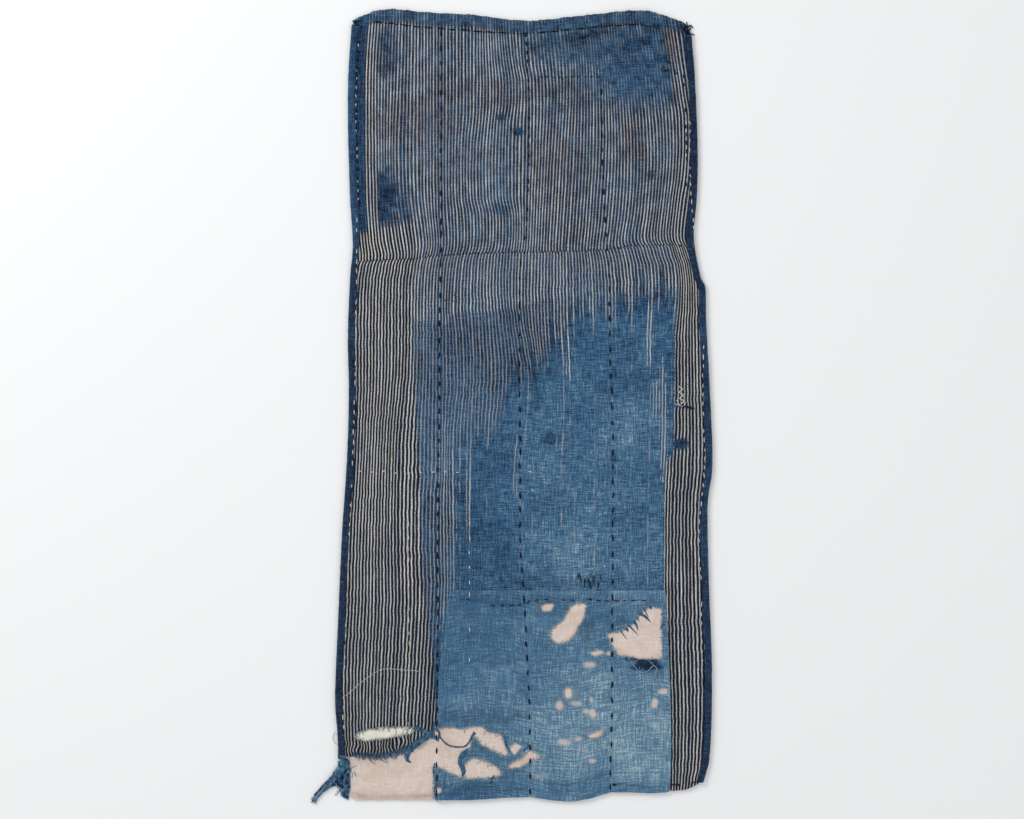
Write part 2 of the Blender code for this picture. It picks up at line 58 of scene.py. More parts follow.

# %% [markdown]
# ## Small helpers
# Cloth is uneven everywhere, so most values here are curves through a few listed rows, soft
# steps, and a slow random rumple. All of them take whole arrays of points, which keeps 100,000
# vertices quick.


# %% Curves, steps and rumples
def ease(value):
    """0 below 0, 1 above 1 and a soft step between."""
    value = np.clip(value, 0.0, 1.0)
    return value * value * (3 - 2 * value)


def along(table, at):
    """The second column of a two-column table where the first is at, on a smooth curve."""
    rows = np.array(table, float)
    rows = rows[np.argsort(rows[:, 0])]
    place, value = rows[:, 0], rows[:, 1]
    ends = (np.diff(value) / np.diff(place))[[0, -1]]
    inner = (value[2:] - value[:-2]) / (place[2:] - place[:-2])
    slope = np.concatenate([ends[:1], inner, ends[1:]])
    at = np.clip(at, place[0], place[-1])
    k = np.clip(np.searchsorted(place, at) - 1, 0, len(place) - 2)
    run = place[k + 1] - place[k]
    t = (at - place[k]) / run
    return (
        value[k] * (2 * t**3 - 3 * t**2 + 1)
        + slope[k] * run * (t**3 - 2 * t**2 + t)
        + value[k + 1] * (3 * t**2 - 2 * t**3)
        + slope[k + 1] * run * (t**3 - t**2)
    )


def rumple(x, y, pitch, seed):
    """A slow random field, about -1 to 1, with bumps about pitch apart."""
    draw = np.random.default_rng(seed)
    total = 0.0
    for _ in range(7):
        angle, phase = draw.uniform(0, TAU, 2)
        size = pitch * draw.uniform(0.7, 1.6)
        total = total + np.sin((x * math.cos(angle) + y * math.sin(angle)) * TAU / size + phase)
    return total / 4.0


def to_line(x, y, points):
    """How far each point is from a run of straight lines."""
    best = np.full(np.shape(x), 1e9)
    for (x1, y1), (x2, y2) in zip(points, points[1:]):
        dx, dy = x2 - x1, y2 - y1
        t = np.clip(((x - x1) * dx + (y - y1) * dy) / (dx * dx + dy * dy), 0.0, 1.0)
        best = np.minimum(best, np.hypot(x - x1 - t * dx, y - y1 - t * dy))
    return best


def spots(x, y, table, soft=0.5):
    """Soft-edged ovals, each (x, y, half width, half height, strength), joined by the strongest."""
    total = np.zeros(np.shape(x))
    for cx, cy, rx, ry, strength in table:
        uneven = 0.22 * rumple(x, y, 9.0, int(cx * 7 + cy) % 9973)
        away = np.hypot((x - cx) / rx, (y - cy) / ry) + uneven
        total = np.maximum(total, strength * ease((1 + soft / 2 - away) / soft))
    return total


def lines(x, y, table):
    """Soft lines, each (strength, half width, points), joined by the strongest."""
    total = np.zeros(np.shape(x))
    for strength, half_width, points in table:
        away = to_line(x, y, points) / half_width
        total = np.maximum(total, strength * np.exp(-(away**2)))
    return total


# %% [markdown]
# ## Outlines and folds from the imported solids
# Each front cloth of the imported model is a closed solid, so its outline is where its upper face meets
# its walls. Following those edges gives the rim and every hole. Dropping a ray on the solid at a
# coarse grid and blending between gives the folds, and fine wrinkles are added to that later.


# %% Rims of a solid's upper face
UP_LEAST = 0.3
MERGE = 0.00001


def area_of(ring):
    """The area in a ring of points."""
    x, y = ring[:, 0], ring[:, 1]
    return 0.5 * abs(float(np.sum(x * np.roll(y, -1) - np.roll(x, -1) * y)))


def rims_of(name):
    """Rings of (x, y) round the upper face of a solid: its outline first, then its holes."""
    shape = bmesh.new()
    shape.from_mesh(nodes[name].data)
    bmesh.ops.remove_doubles(shape, verts=shape.verts, dist=MERGE)
    shape.normal_update()
    after = {}
    for edge in shape.edges:
        upper = [face for face in edge.link_faces if face.normal.z > UP_LEAST]
        if len(upper) == 1:
            corner = next(c for c in upper[0].loops if c.edge == edge)
            after[corner.vert] = corner.link_loop_next.vert
    rings = []
    while after:
        at = next(iter(after))
        ring = []
        while at in after:
            ring.append((at.co.x / MM, at.co.y / MM))
            at = after.pop(at)
        rings.append(np.array(ring))
    shape.free()
    return sorted(rings, key=area_of, reverse=True)


def run_along(line):
    """How far along a line each of its points lies."""
    return np.concatenate([[0], np.cumsum(np.hypot(*np.diff(line, axis=0).T))])


def resample(ring, step, closed=True):
    """A ring, or an open line, as points about step apart."""
    line = np.vstack([ring, ring[:1]]) if closed else np.array(ring, float)
    far = run_along(line)
    count = max(8 if closed else 2, round(far[-1] / step))
    at = np.linspace(0, far[-1], count, endpoint=not closed)
    return np.stack([np.interp(at, far, line[:, 0]), np.interp(at, far, line[:, 1])], 1)


def arcs_of(ring, keep):
    """The unbroken runs of a closed ring where keep holds."""
    start = int(np.argmin(keep))
    arcs, run = [], []
    for point, kept in zip(np.roll(ring, -start, 0), np.roll(keep, -start)):
        if kept:
            run.append(point)
        elif run:
            arcs.append(np.array(run))
            run = []
    if run:
        arcs.append(np.array(run))
    return [arc for arc in arcs if len(arc) > 3]


def soften(ring, passes):
    """Rounds a ring's corners."""
    for _ in range(passes):
        ring = (np.roll(ring, 1, 0) + 2 * ring + np.roll(ring, -1, 0)) / 4
    return ring


TINY = 1e-9  # keeps a step of no length from being divided by 0


def ahead_of(line, closed=True):
    """Unit steps along a ring, or an open line, at each of its points."""
    ahead = np.roll(line, -1, 0) - np.roll(line, 1, 0) if closed else np.gradient(line, axis=0)
    return ahead / np.maximum(np.hypot(*ahead.T), TINY)[:, None]


def right_of(ahead):
    """Unit steps to the right of unit steps ahead."""
    return np.stack([ahead[:, 1], -ahead[:, 0]], 1)


def ragged(ring, reach, seed):
    """Moves a ring in and out by reach, as frayed and hand-cut edges are. reach may be per point."""
    out = right_of(ahead_of(ring))
    x, y = ring.T
    shift = 0.6 * rumple(x, y, 9.0, seed) + 0.5 * rumple(x, y, 3.6, seed + 1)
    return ring + out * (shift * reach)[:, None]


def widen(ring, reach):
    """A hole's ring moved out into its cloth by reach."""
    out = right_of(ahead_of(ring))
    middle = ring.mean(0)
    outward = np.sign(np.sum(out * (ring - middle)))
    return ring + out * outward * reach


# %% Height of a solid's upper face
GRID = 4.0
RAY_START = 0.05  # in metres, well above the cloth
DOWN = Vector((0, 0, -1))


def height_on(tree, x, y):
    """The height at which a ray straight down meets a piece, in millimetres, or None."""
    hit = tree.ray_cast(Vector((x * MM, y * MM, RAY_START)), DOWN)[0]
    return None if hit is None else hit.z / MM


class Heights:
    """The upper face of a solid as a grid of heights, filled past its edges and slightly blurred."""

    def __init__(self, name):
        low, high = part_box(name)
        self.x0, self.y0 = low.x / MM - 3 * GRID, low.y / MM - 3 * GRID
        wide = int((high.x / MM - self.x0) / GRID) + 5
        tall = int((high.y / MM - self.y0) / GRID) + 5
        shape = bmesh.new()
        shape.from_mesh(nodes[name].data)
        tree = BVHTree.FromBMesh(shape)
        shape.free()
        grid = np.full((tall, wide), np.nan)
        for j in range(tall):
            for i in range(wide):
                height = height_on(tree, self.x0 + i * GRID, self.y0 + j * GRID)
                if height is not None:
                    grid[j, i] = height
        while np.isnan(grid).any():
            around = np.stack([np.roll(grid, s, a) for s in (1, -1) for a in (0, 1)])
            known = ~np.isnan(around)
            mean = np.where(known, around, 0).sum(0) / np.maximum(known.sum(0), 1)
            grid = np.where(np.isnan(grid) & known.any(0), mean, grid)
        for axis in (0, 1):
            grid = (np.roll(grid, 1, axis) + 2 * grid + np.roll(grid, -1, axis)) / 4
        self.grid = grid

    def at(self, x, y):
        """Heights at points, between the grid's own."""
        tall, wide = self.grid.shape
        u = np.clip((x - self.x0) / GRID, 0, wide - 1.001)
        v = np.clip((y - self.y0) / GRID, 0, tall - 1.001)
        i, j = u.astype(int), v.astype(int)
        fu, fv = u - i, v - j
        low = self.grid[j, i] * (1 - fu) + self.grid[j, i + 1] * fu
        high = self.grid[j + 1, i] * (1 - fu) + self.grid[j + 1, i + 1] * fu
        return low * (1 - fv) + high * fv


# %% [markdown]
# ## One way to make every sheet
# A sheet of cloth is its outline and holes, filled with small even triangles and lifted to its folds,
# with an underside one thickness lower and a narrow wall round every edge. Blender's constrained
# triangulation keeps the outlines exact. Every vertex carries how the cloth was woven and worn there,
# which the materials read: which warp and weft thread it is on, how faded or stained it is, and where
# shade is painted on it.


# %% Sheets
def inside(x, y, rings):
    """Whether each point is in the first ring and out of the others."""
    found = np.zeros(np.shape(x), bool)
    for ring in rings:
        for (x1, y1), (x2, y2) in zip(ring, np.roll(ring, -1, 0)):
            if y1 == y2:
                continue
            crosses = ((y1 > y) != (y2 > y)) & (x < x1 + (y - y1) * (x2 - x1) / (y2 - y1))
            found ^= crosses
    return found


def rim_tree(rings):
    """A search tree of the points on all rings."""
    points = np.vstack(rings)
    tree = kdtree.KDTree(len(points))
    for k, (x, y) in enumerate(points):
        tree.insert((x, y, 0), k)
    tree.balance()
    return tree


def from_rim(x, y, rings):
    """How far each point is from the nearest point of the rings."""
    tree = rim_tree(rings)
    return np.array([tree.find((px, py, 0))[2] for px, py in zip(x, y)])


RIM_CLEAR = 0.55  # inner points keep this share of a cell from every rim
CDT_MERGE = 1e-5


def triangulate(rings, cell):
    """(points, triangles) that fill the first ring, out of the others."""
    outline = rings[0]
    (x_low, y_low), (x_high, y_high) = outline.min(0), outline.max(0)
    rise = cell * math.sqrt(3) / 2
    xs, ys = np.meshgrid(np.arange(x_low, x_high, cell), np.arange(y_low, y_high, rise))
    xs = xs + np.where(np.arange(len(ys)) % 2, cell / 2, 0)[:, None]
    xs, ys = xs.ravel(), ys.ravel()
    keep = inside(xs, ys, rings)
    xs, ys = xs[keep], ys[keep]
    keep = from_rim(xs, ys, rings) > RIM_CLEAR * cell
    points = np.vstack([*rings, np.stack([xs[keep], ys[keep]], 1)])
    edges, first = [], 0
    for ring in rings:
        edges += [(first + i, first + (i + 1) % len(ring)) for i in range(len(ring))]
        first += len(ring)
    flat = [Vector(point) for point in points]
    made = geometry.delaunay_2d_cdt(flat, edges, [], 0, CDT_MERGE, False)
    points = np.array([tuple(p) for p in made[0]])
    triangles = np.array(made[2])
    middle = points[triangles].mean(1)
    triangles = triangles[inside(middle[:, 0], middle[:, 1], rings)]
    # Only the points that a triangle uses are kept
    used, index = np.unique(triangles, return_inverse=True)
    return points[used], index.reshape(-1, 3)


def set_fact(mesh, key, value):
    """Stores one number, or one row of three, for each vertex."""
    kind, field = ("FLOAT_VECTOR", "vector") if value.ndim == 2 else ("FLOAT", "value")
    stored = mesh.attributes.new(key, kind, "POINT")
    stored.data.foreach_set(field, value.ravel().astype(np.float32))


def new_object(name, data):
    """An object in the scene that holds a mesh, a light or a camera."""
    made = bpy.data.objects.new(name, data)
    scene.collection.objects.link(made)
    return made


def new_shell(name, places, faces):
    """A closed mesh whose faces all point outwards, from places in millimetres."""
    mesh = bpy.data.meshes.new(name)
    mesh.from_pydata(places * MM, [], faces)
    shape = bmesh.new()
    shape.from_mesh(mesh)
    bmesh.ops.recalc_face_normals(shape, faces=shape.faces)
    shape.to_mesh(mesh)
    shape.free()
    return mesh


SHARP = math.radians(50)  # the edge of a sheet, against the folds in its face


def sheet_object(name, points, triangles, top, thick, facts):
    """A closed sheet: points at height top with an underside thick below, in millimetres."""
    count = len(points)
    above = np.column_stack([points, top])
    below = np.column_stack([points, top - thick])
    ends = np.concatenate([triangles[:, [0, 1]], triangles[:, [1, 2]], triangles[:, [2, 0]]])
    keys = {(a, b) for a, b in ends.tolist()}
    border = [(a, b) for a, b in keys if (b, a) not in keys]
    border.sort()
    walls = np.array([(a + count, b + count, b) for a, b in border])
    walls = np.concatenate([walls, np.array([(a + count, b, a) for a, b in border])])
    faces = np.concatenate([triangles, triangles[:, ::-1] + count, walls])
    mesh = bpy.data.meshes.new(name)
    mesh.from_pydata(np.vstack([above, below]) * MM, [], faces.tolist())
    for key, value in facts.items():
        set_fact(mesh, key, np.concatenate([value, value]))
    flat_map(mesh, len(triangles) * 2 * 3)
    mesh.shade_smooth()
    mesh.set_sharp_from_angle(angle=SHARP)
    print(name, len(mesh.polygons), "triangles")
    return new_object(name, mesh)


MAP_SPAN, MAP_MARGIN = 0.98, 0.01
WALL_SHARE = 0.004  # how far the foot of an edge's wall is drawn into the map, so that it has width


def flat_map(mesh, wall_start):
    """A flat map seen from above, for a sheet that lies flat."""
    places = np.empty(len(mesh.vertices) * 3)
    mesh.vertices.foreach_get("co", places)
    places = places.reshape(-1, 3)[:, :2]
    corners = np.empty(len(mesh.loops), int)
    mesh.loops.foreach_get("vertex_index", corners)
    low, high = places.min(0), places.max(0)
    flat = (places[corners] - low) / (high - low) * MAP_SPAN + MAP_MARGIN
    lower = (corners >= len(places) // 2) & (np.arange(len(corners)) >= wall_start)
    flat[lower] += (0.5 - flat[lower]) * WALL_SHARE
    mesh.uv_layers.new(name="OFBake").uv.foreach_set("vector", flat.ravel())


# %% [markdown]
# ## Where the quilting, creases and threads run
# Three rows of running stitch hold the layers together, and the cloth puckers a little along each of
# them and along the cross seam. The stripes are the warp, so they show how the cloth was pulled:
# each guide below is one warp thread, by its place in the loom and by where it lies now.

# %% Rows, seam and creases
ROW_LEFT = (
    (-402, -77), (-300, -76.5), (-200, -76), (-90, -75.5), (0, -74), (88, -74), (159, -72.5),
    (280, -72.5), (394, -72.5),
)
ROW_MIDDLE = (
    (-399, 18.5), (-320, 18), (-249, 15), (-188, 12), (-150, 8.5), (-60, 8.5), (60, 7.5),
    (150, 9), (179, 14), (240, 17), (320, 17), (394, 13),
)
ROW_RIGHT = (
    (-387, 100), (-300, 102), (-249, 102), (-130, 103), (-24, 102.5), (60, 100), (128, 99),
    (195, 95), (260, 92), (327, 91), (385, 90),
)
ROWS = (ROW_LEFT, ROW_MIDDLE, ROW_RIGHT)
ROW_TROUGH, ROW_REACH = 0.9, 3.6
STITCH_PITCH = 14.8

SEAM = (
    (-175, 147), (-104, 150), (-72, 154), (8, 157), (90, 159), (131, 164), (200, 163),
)
SEAM_TROUGH, SEAM_REACH = 1.1, 2.4
PUCKER_PITCH = 9.5

CREASES = (
    # half width, height, then the points that it runs through
    (5.0, -0.9, ((-132, 345), (-131, 300), (-128, 240))),
    (7.0, 0.9, ((-112, 384), (-113, 330), (-118, 290))),
    (4.0, -0.8, ((-158, 330), (-154, 356), (-147, 384))),
    (6.0, -0.8, ((47, 332), (48, 312), (44, 288))),
    (7.0, 0.7, ((62, 345), (60, 318))),
    (3.5, -1.3, ((136, 205), (133, 186), (133, 172))),
    (5.0, 0.9, ((144, 204), (140, 186), (138, 172))),
    (4.0, -0.8, ((128, 392), (152, 384), (166, 376))),
    (2.4, -2.0, ((8, 66), (13, 50), (18.5, 39.5), (24, 30), (27, 14), (26, -2), (23, -16))),
    (5.0, 1.2, ((4, 60), (13, 36), (19, 20), (19, -8))),
    (5.0, 1.0, ((30, 40), (33, 14), (32, -8))),
    (3.0, -1.3, ((184, -152), (184.6, -172), (184, -190))),
    (4.0, 0.8, ((179, -150), (179, -192))),
    (3.0, -0.8, ((-66, -196.5), (-31, -199), (-19, -204), (11, -203))),
    (5.0, 0.8, ((-140, -150), (-132, -210), (-138, -262))),
    (4.0, -0.9, ((-112, -210), (-108, -262), (-114, -300))),
    (6.0, 0.7, ((-100, 90), (-104, 20), (-100, -40))),
    (4.0, -0.8, ((-62, 128), (-63, 92), (-61, 60))),
    (4.0, -0.7, ((60, -90), (66, -130), (60, -170))),
    (6.0, 0.7, ((120, 20), (126, -30), (122, -80))),
    (3.0, -1.5, ((184.5, -156), (185, -186))),
    (3.0, -1.2, ((184, 84), (186, 30))),
    (5.0, -0.6, ((-150, -90), (-148, -210))),
    (5.0, 0.6, ((-122, -140), (-126, -260))),
    (3.0, -0.9, ((21, -381), (38, -386), (58, -387), (79, -383), (99, -374))),
    (4.0, -0.7, ((-70, -262), (-20, -270), (12, -262))),
    (4.0, 0.6, ((20, -246), (52, -262), (96, -258))),
    (4.0, -0.6, ((104, -300), (130, -310), (158, -304))),
    (5.0, 0.6, ((24, -320), (50, -330), (70, -322))),
    (4.0, -0.6, ((106, -345), (132, -352), (156, -346))),
    (3.0, 0.7, ((-76, -212), (-30, -210), (40, -207))),
)

# %% Guides: how the warp lies
PITCH = 3.25  # from one cream stripe to the next

UPPER_GUIDES = (
    # place in the loom, then (y, x) along the thread
    (-167.5, ((400, -160), (375, -163), (350, -166), (318, -168), (262, -167), (217, -166),
              (180, -163), (155, -161))),
    (-151.5, ((395, -148), (338, -151.5), (217, -151), (170, -148), (155, -146))),
    (-137.4, ((395, -135), (340, -138), (217, -137), (170, -134.5), (155, -131))),
    (-115.5, ((395, -114.5), (330, -116.5), (262, -119), (217, -117.5), (185, -113.5),
              (155, -108.5))),
    (-93.0, ((395, -92.5), (262, -92.8), (217, -92.5), (200, -91), (180, -88.5), (165, -87),
             (155, -88))),
    (-72.5, ((395, -72.5), (262, -72.5), (200, -72), (175, -70.5), (155, -69.5))),
    (-38.0, ((388, -35.7), (300, -36.1), (262, -39.6), (213, -39.6), (195, -36), (155, -35.5))),
    (-2.0, ((395, -6), (379, -5.6), (355, -3.3), (332, 0.2), (309, 0.2), (285, -2.7), (215, -3.3),
            (194, 0.2), (155, 0))),
    (17.5, ((395, 13), (379, 14), (348, 15.8), (332, 18.7), (262, 18.7), (220, 17.5), (155, 15.5))),
    (39.5, ((395, 36), (332, 42), (310, 42.5), (262, 39.8), (155, 34))),
    (56.5, ((395, 55), (338, 59.5), (262, 56.5), (182, 52), (155, 50))),
    (75.0, ((395, 71), (338, 75.5), (262, 75.5), (182, 71), (155, 68))),
    (92.0, ((395, 86.5), (332, 91.5), (262, 92.5), (182, 87.5), (155, 84))),
    (109.0, ((395, 101), (348, 105), (262, 109), (195, 106), (155, 100))),
    (124.0, ((395, 114), (348, 118), (262, 124), (200, 121.5), (160, 114))),
    (147.0, ((395, 135), (348, 141), (262, 148), (201, 144.5), (160, 138))),
    (178.0, ((395, 163), (385, 165), (364, 168), (339, 172), (315, 175.6), (297, 178.5),
             (262, 179), (234, 177), (208, 173), (172, 169.3), (160, 170.5))),
    (189.0, ((400, 176), (375, 180), (340, 184), (300, 187), (262, 189), (217, 187), (172, 181),
             (160, 182))),
)
LOWER_GUIDES = (
    (-167.0, ((157, -163), (145, -165), (120, -167), (71, -168.5), (12, -167.5), (-55, -169.5),
              (-130, -174.5), (-208, -178), (-277, -181), (-336, -179), (-360, -178.5))),
    (-109.5, ((157, -108), (118, -109.3), (62, -109.5), (34, -110.5), (10, -112.5), (-14, -115),
              (-42, -116.8), (-100, -118), (-150, -118), (-200, -117), (-260, -119.5),
              (-330, -123))),
    (-73.5, ((157, -73), (88, -74), (-75, -74), (-90, -75.5), (-150, -76), (-188, -75),
             (-330, -83))),
    (-60.0, ((157, -60), (97, -62.5), (82, -60.5), (47, -58.7), (22, -58.3), (0, -60.5),
             (-35, -63), (-100, -63), (-188, -62), (-330, -70))),
    (-36.0, ((157, -36), (118, -37), (90, -36), (50, -34), (20, -34.5), (-12, -36), (-60, -37),
             (-120, -38), (-188, -38))),
    (-8.0, ((157, -8), (118, -9), (90, -6), (62, -3), (40, -1), (10, -2), (-20, -5), (-80, -8),
            (-188, -8))),
    (10.0, ((157, 10), (118, 8.5), (92, 9.5), (66, 14), (40, 18.5), (10, 19.5), (-20, 17.5),
            (-60, 12), (-120, 10), (-188, 10))),
    (28.0, ((157, 28), (118, 27), (80, 28), (40, 31), (-20, 31), (-60, 28), (-188, 28))),
    (100.0, ((157, 98), (118, 100), (-24, 102), (-188, 102))),
    (166.0, ((157, 166), (137, 169.5), (106, 169), (74, 166), (6, 165), (-30, 164.5), (-60, 163),
             (-100, 161), (-188, 160.5), (-250, 161), (-310, 163), (-395, 163))),
    (202.0, ((157, 192), (131, 196), (90, 199), (12, 202), (-61, 204), (-96, 201), (-121, 200),
             (-185, 201.5), (-271, 204.5), (-359, 202), (-387, 196), (-395, 195))),
)
# How far the stitching of the cross seam drags the stripes sideways: (x, shift)
UPPER_DRAG = ((-165, 0.0), (-110, -1.0), (-90, -1.8), (-50, -3.6), (-5, -2.2), (40, 0.5),
              (95, 1.2), (122, 5.5), (152, 5.5), (185, 2.0))
LOWER_DRAG = ((-165, 2.5), (-120, 3.6), (-70, 3.6), (-30, 1.8), (5, 0.2), (60, -0.5), (100, -3.4),
              (150, -5.0), (195, -4.0))
UPPER_DRAG_REACH, LOWER_DRAG_REACH = 5.5, 11.0


def warp_place(x, y, guides, drag, reach):
    """Which warp thread each point is on, as its place in the loom."""
    x = x - along(drag, x) * np.exp(-np.abs(y - along(SEAM, x)) / reach)
    threads = np.stack([along(table, y) for _, table in guides])
    looms = np.array([loom for loom, _ in guides], float)
    place = looms[0] + (x - threads[0])
    for k in range(len(looms) - 1):
        share = (x - threads[k]) / (threads[k + 1] - threads[k])
        step = looms[k] + share * (looms[k + 1] - looms[k])
        place = np.where(x >= threads[k], step, place)
    return np.where(x >= threads[-1], looms[-1] + (x - threads[-1]), place)


# %% Fine shape that every front cloth shares
def wrinkles(x, y, seed, rough=0.28):
    """What is added to the folds of the solid: stitched troughs, puckers, creases and rumples."""
    lift = rough * rumple(x, y, 34.0, seed) + 0.4 * rough * rumple(x, y, 13.0, seed + 1)
    for k, row in enumerate(ROWS):
        away = np.abs(x - along(row, y))
        wave = 0.5 + 0.5 * np.cos(y * TAU / STITCH_PITCH + k)
        lift -= ROW_TROUGH * (0.45 + 0.55 * wave) * np.exp(-((away / ROW_REACH) ** 2))
        lift += 0.28 * wave * np.exp(-((away / 10.0) ** 2))
    away = np.abs(y - along(SEAM, x))
    pucker = np.sin(x * TAU / PUCKER_PITCH + 1.5 * rumple(x, y, 40.0, 5))
    lift += 0.32 * pucker * np.exp(-away / 9.0)
    lift -= SEAM_TROUGH * np.exp(-((away / SEAM_REACH) ** 2))
    for half_width, height, points in CREASES:
        away = to_line(x, y, points) / half_width
        lift += height * np.exp(-(away**2) * 1.6)
    return lift


ON_LINING, ON_LINING_SOFT = 1.9, 0.25


def above_lining(top):
    """Keeps a cloth's upper face from sinking into the lining, with a soft limit."""
    return ON_LINING + ON_LINING_SOFT * np.logaddexp(0, (top - ON_LINING) / ON_LINING_SOFT)


# %% [markdown]
# ## Materials
# All the cloths are plain-woven cotton. Indigo sits on the outside of a yarn, so wear shows the pale
# core first where threads stand proud: every thread has its own tone, and slubs run along both
# directions of the weave. The real threads are about 0.6 mm apart, too fine to show, so the slubs are
# drawn 1.3 mm wide.


# %% Colour and node helpers
def linear(code):
    """An sRGB hex colour as linear RGBA."""
    parts = [int(code[i : i + 2], 16) / 255 for i in (1, 3, 5)]
    return [p / 12.92 if p <= 0.04045 else ((p + 0.055) / 1.055) ** 2.4 for p in parts] + [1.0]


def add(tree, kind, links, out=0, **settings):
    """Adds a node with its settings, sets or links its inputs, and returns one output."""
    made = tree.nodes.new(kind)
    for name, value in settings.items():
        setattr(made, name, value)
    for name, value in links.items():
        if isinstance(value, bpy.types.NodeSocket):
            tree.links.new(value, made.inputs[name])
        else:
            made.inputs[name].default_value = value
    return made.outputs[out]


COTTON = (
    ("Specular IOR Level", 0.1), ("IOR", 1.5), ("Sheen Weight", 0.03), ("Sheen Roughness", 0.5),
)


def new_material(name, roughness):
    """A material whose shader is dull cotton."""
    material = bpy.data.materials.new(name)
    material.use_nodes = True
    shader = material.node_tree.nodes["Principled BSDF"]
    for name, value in (("Roughness", roughness), *COTTON):
        shader.inputs[name].default_value = value
    return material, material.node_tree, shader


def in_millimetres(tree):
    """The place on a piece, in millimetres."""
    place = add(tree, "ShaderNodeTexCoord", {}, out="Object")
    return add(tree, "ShaderNodeVectorMath", {0: place, "Scale": 1 / MM}, operation="SCALE")


def finish_shader(tree, shader, colour, height, strength, distance):
    """Gives a shader its colour, and a bump of that height in metres."""
    tree.links.new(colour, shader.inputs["Base Color"])
    bump = add(tree, "ShaderNodeBump", {"Height": height, "Strength": strength,
               "Distance": distance})
    tree.links.new(bump, shader.inputs["Normal"])


def slub_field(tree, place, across, length, detail=2.0):
    """Streaks of tone: across is how far apart they are in x and length how long in y, in mm."""
    scaled = add(tree, "ShaderNodeVectorMath", {0: place, 1: (1 / across, 1 / length, 0.0)},
                 operation="MULTIPLY")
    return add(tree, "ShaderNodeTexNoise", {"Vector": scaled, "Scale": 1.0, "Detail": detail,
               "Roughness": 0.6}, noise_dimensions="2D")


# %% The indigo cloths
INDIGO = (
    # how faded, colour
    (0.0, "#0f1726"), (0.2, "#1b2b44"), (0.4, "#2b4d6d"), (0.6, "#416889"), (0.8, "#67889e"),
    (1.0, "#a3bac5"),
)
CREAM = "#d8d5ce"
CREAM_WORN = "#a6adb4"
RUST_TAN = "#b08f72"
LINING_BELOW = "#d3c3b8"
CREAM_SHARE = 0.34  # of the pitch
YARN_RISE, TWIST_RISE = 0.0005, 0.0002  # in metres


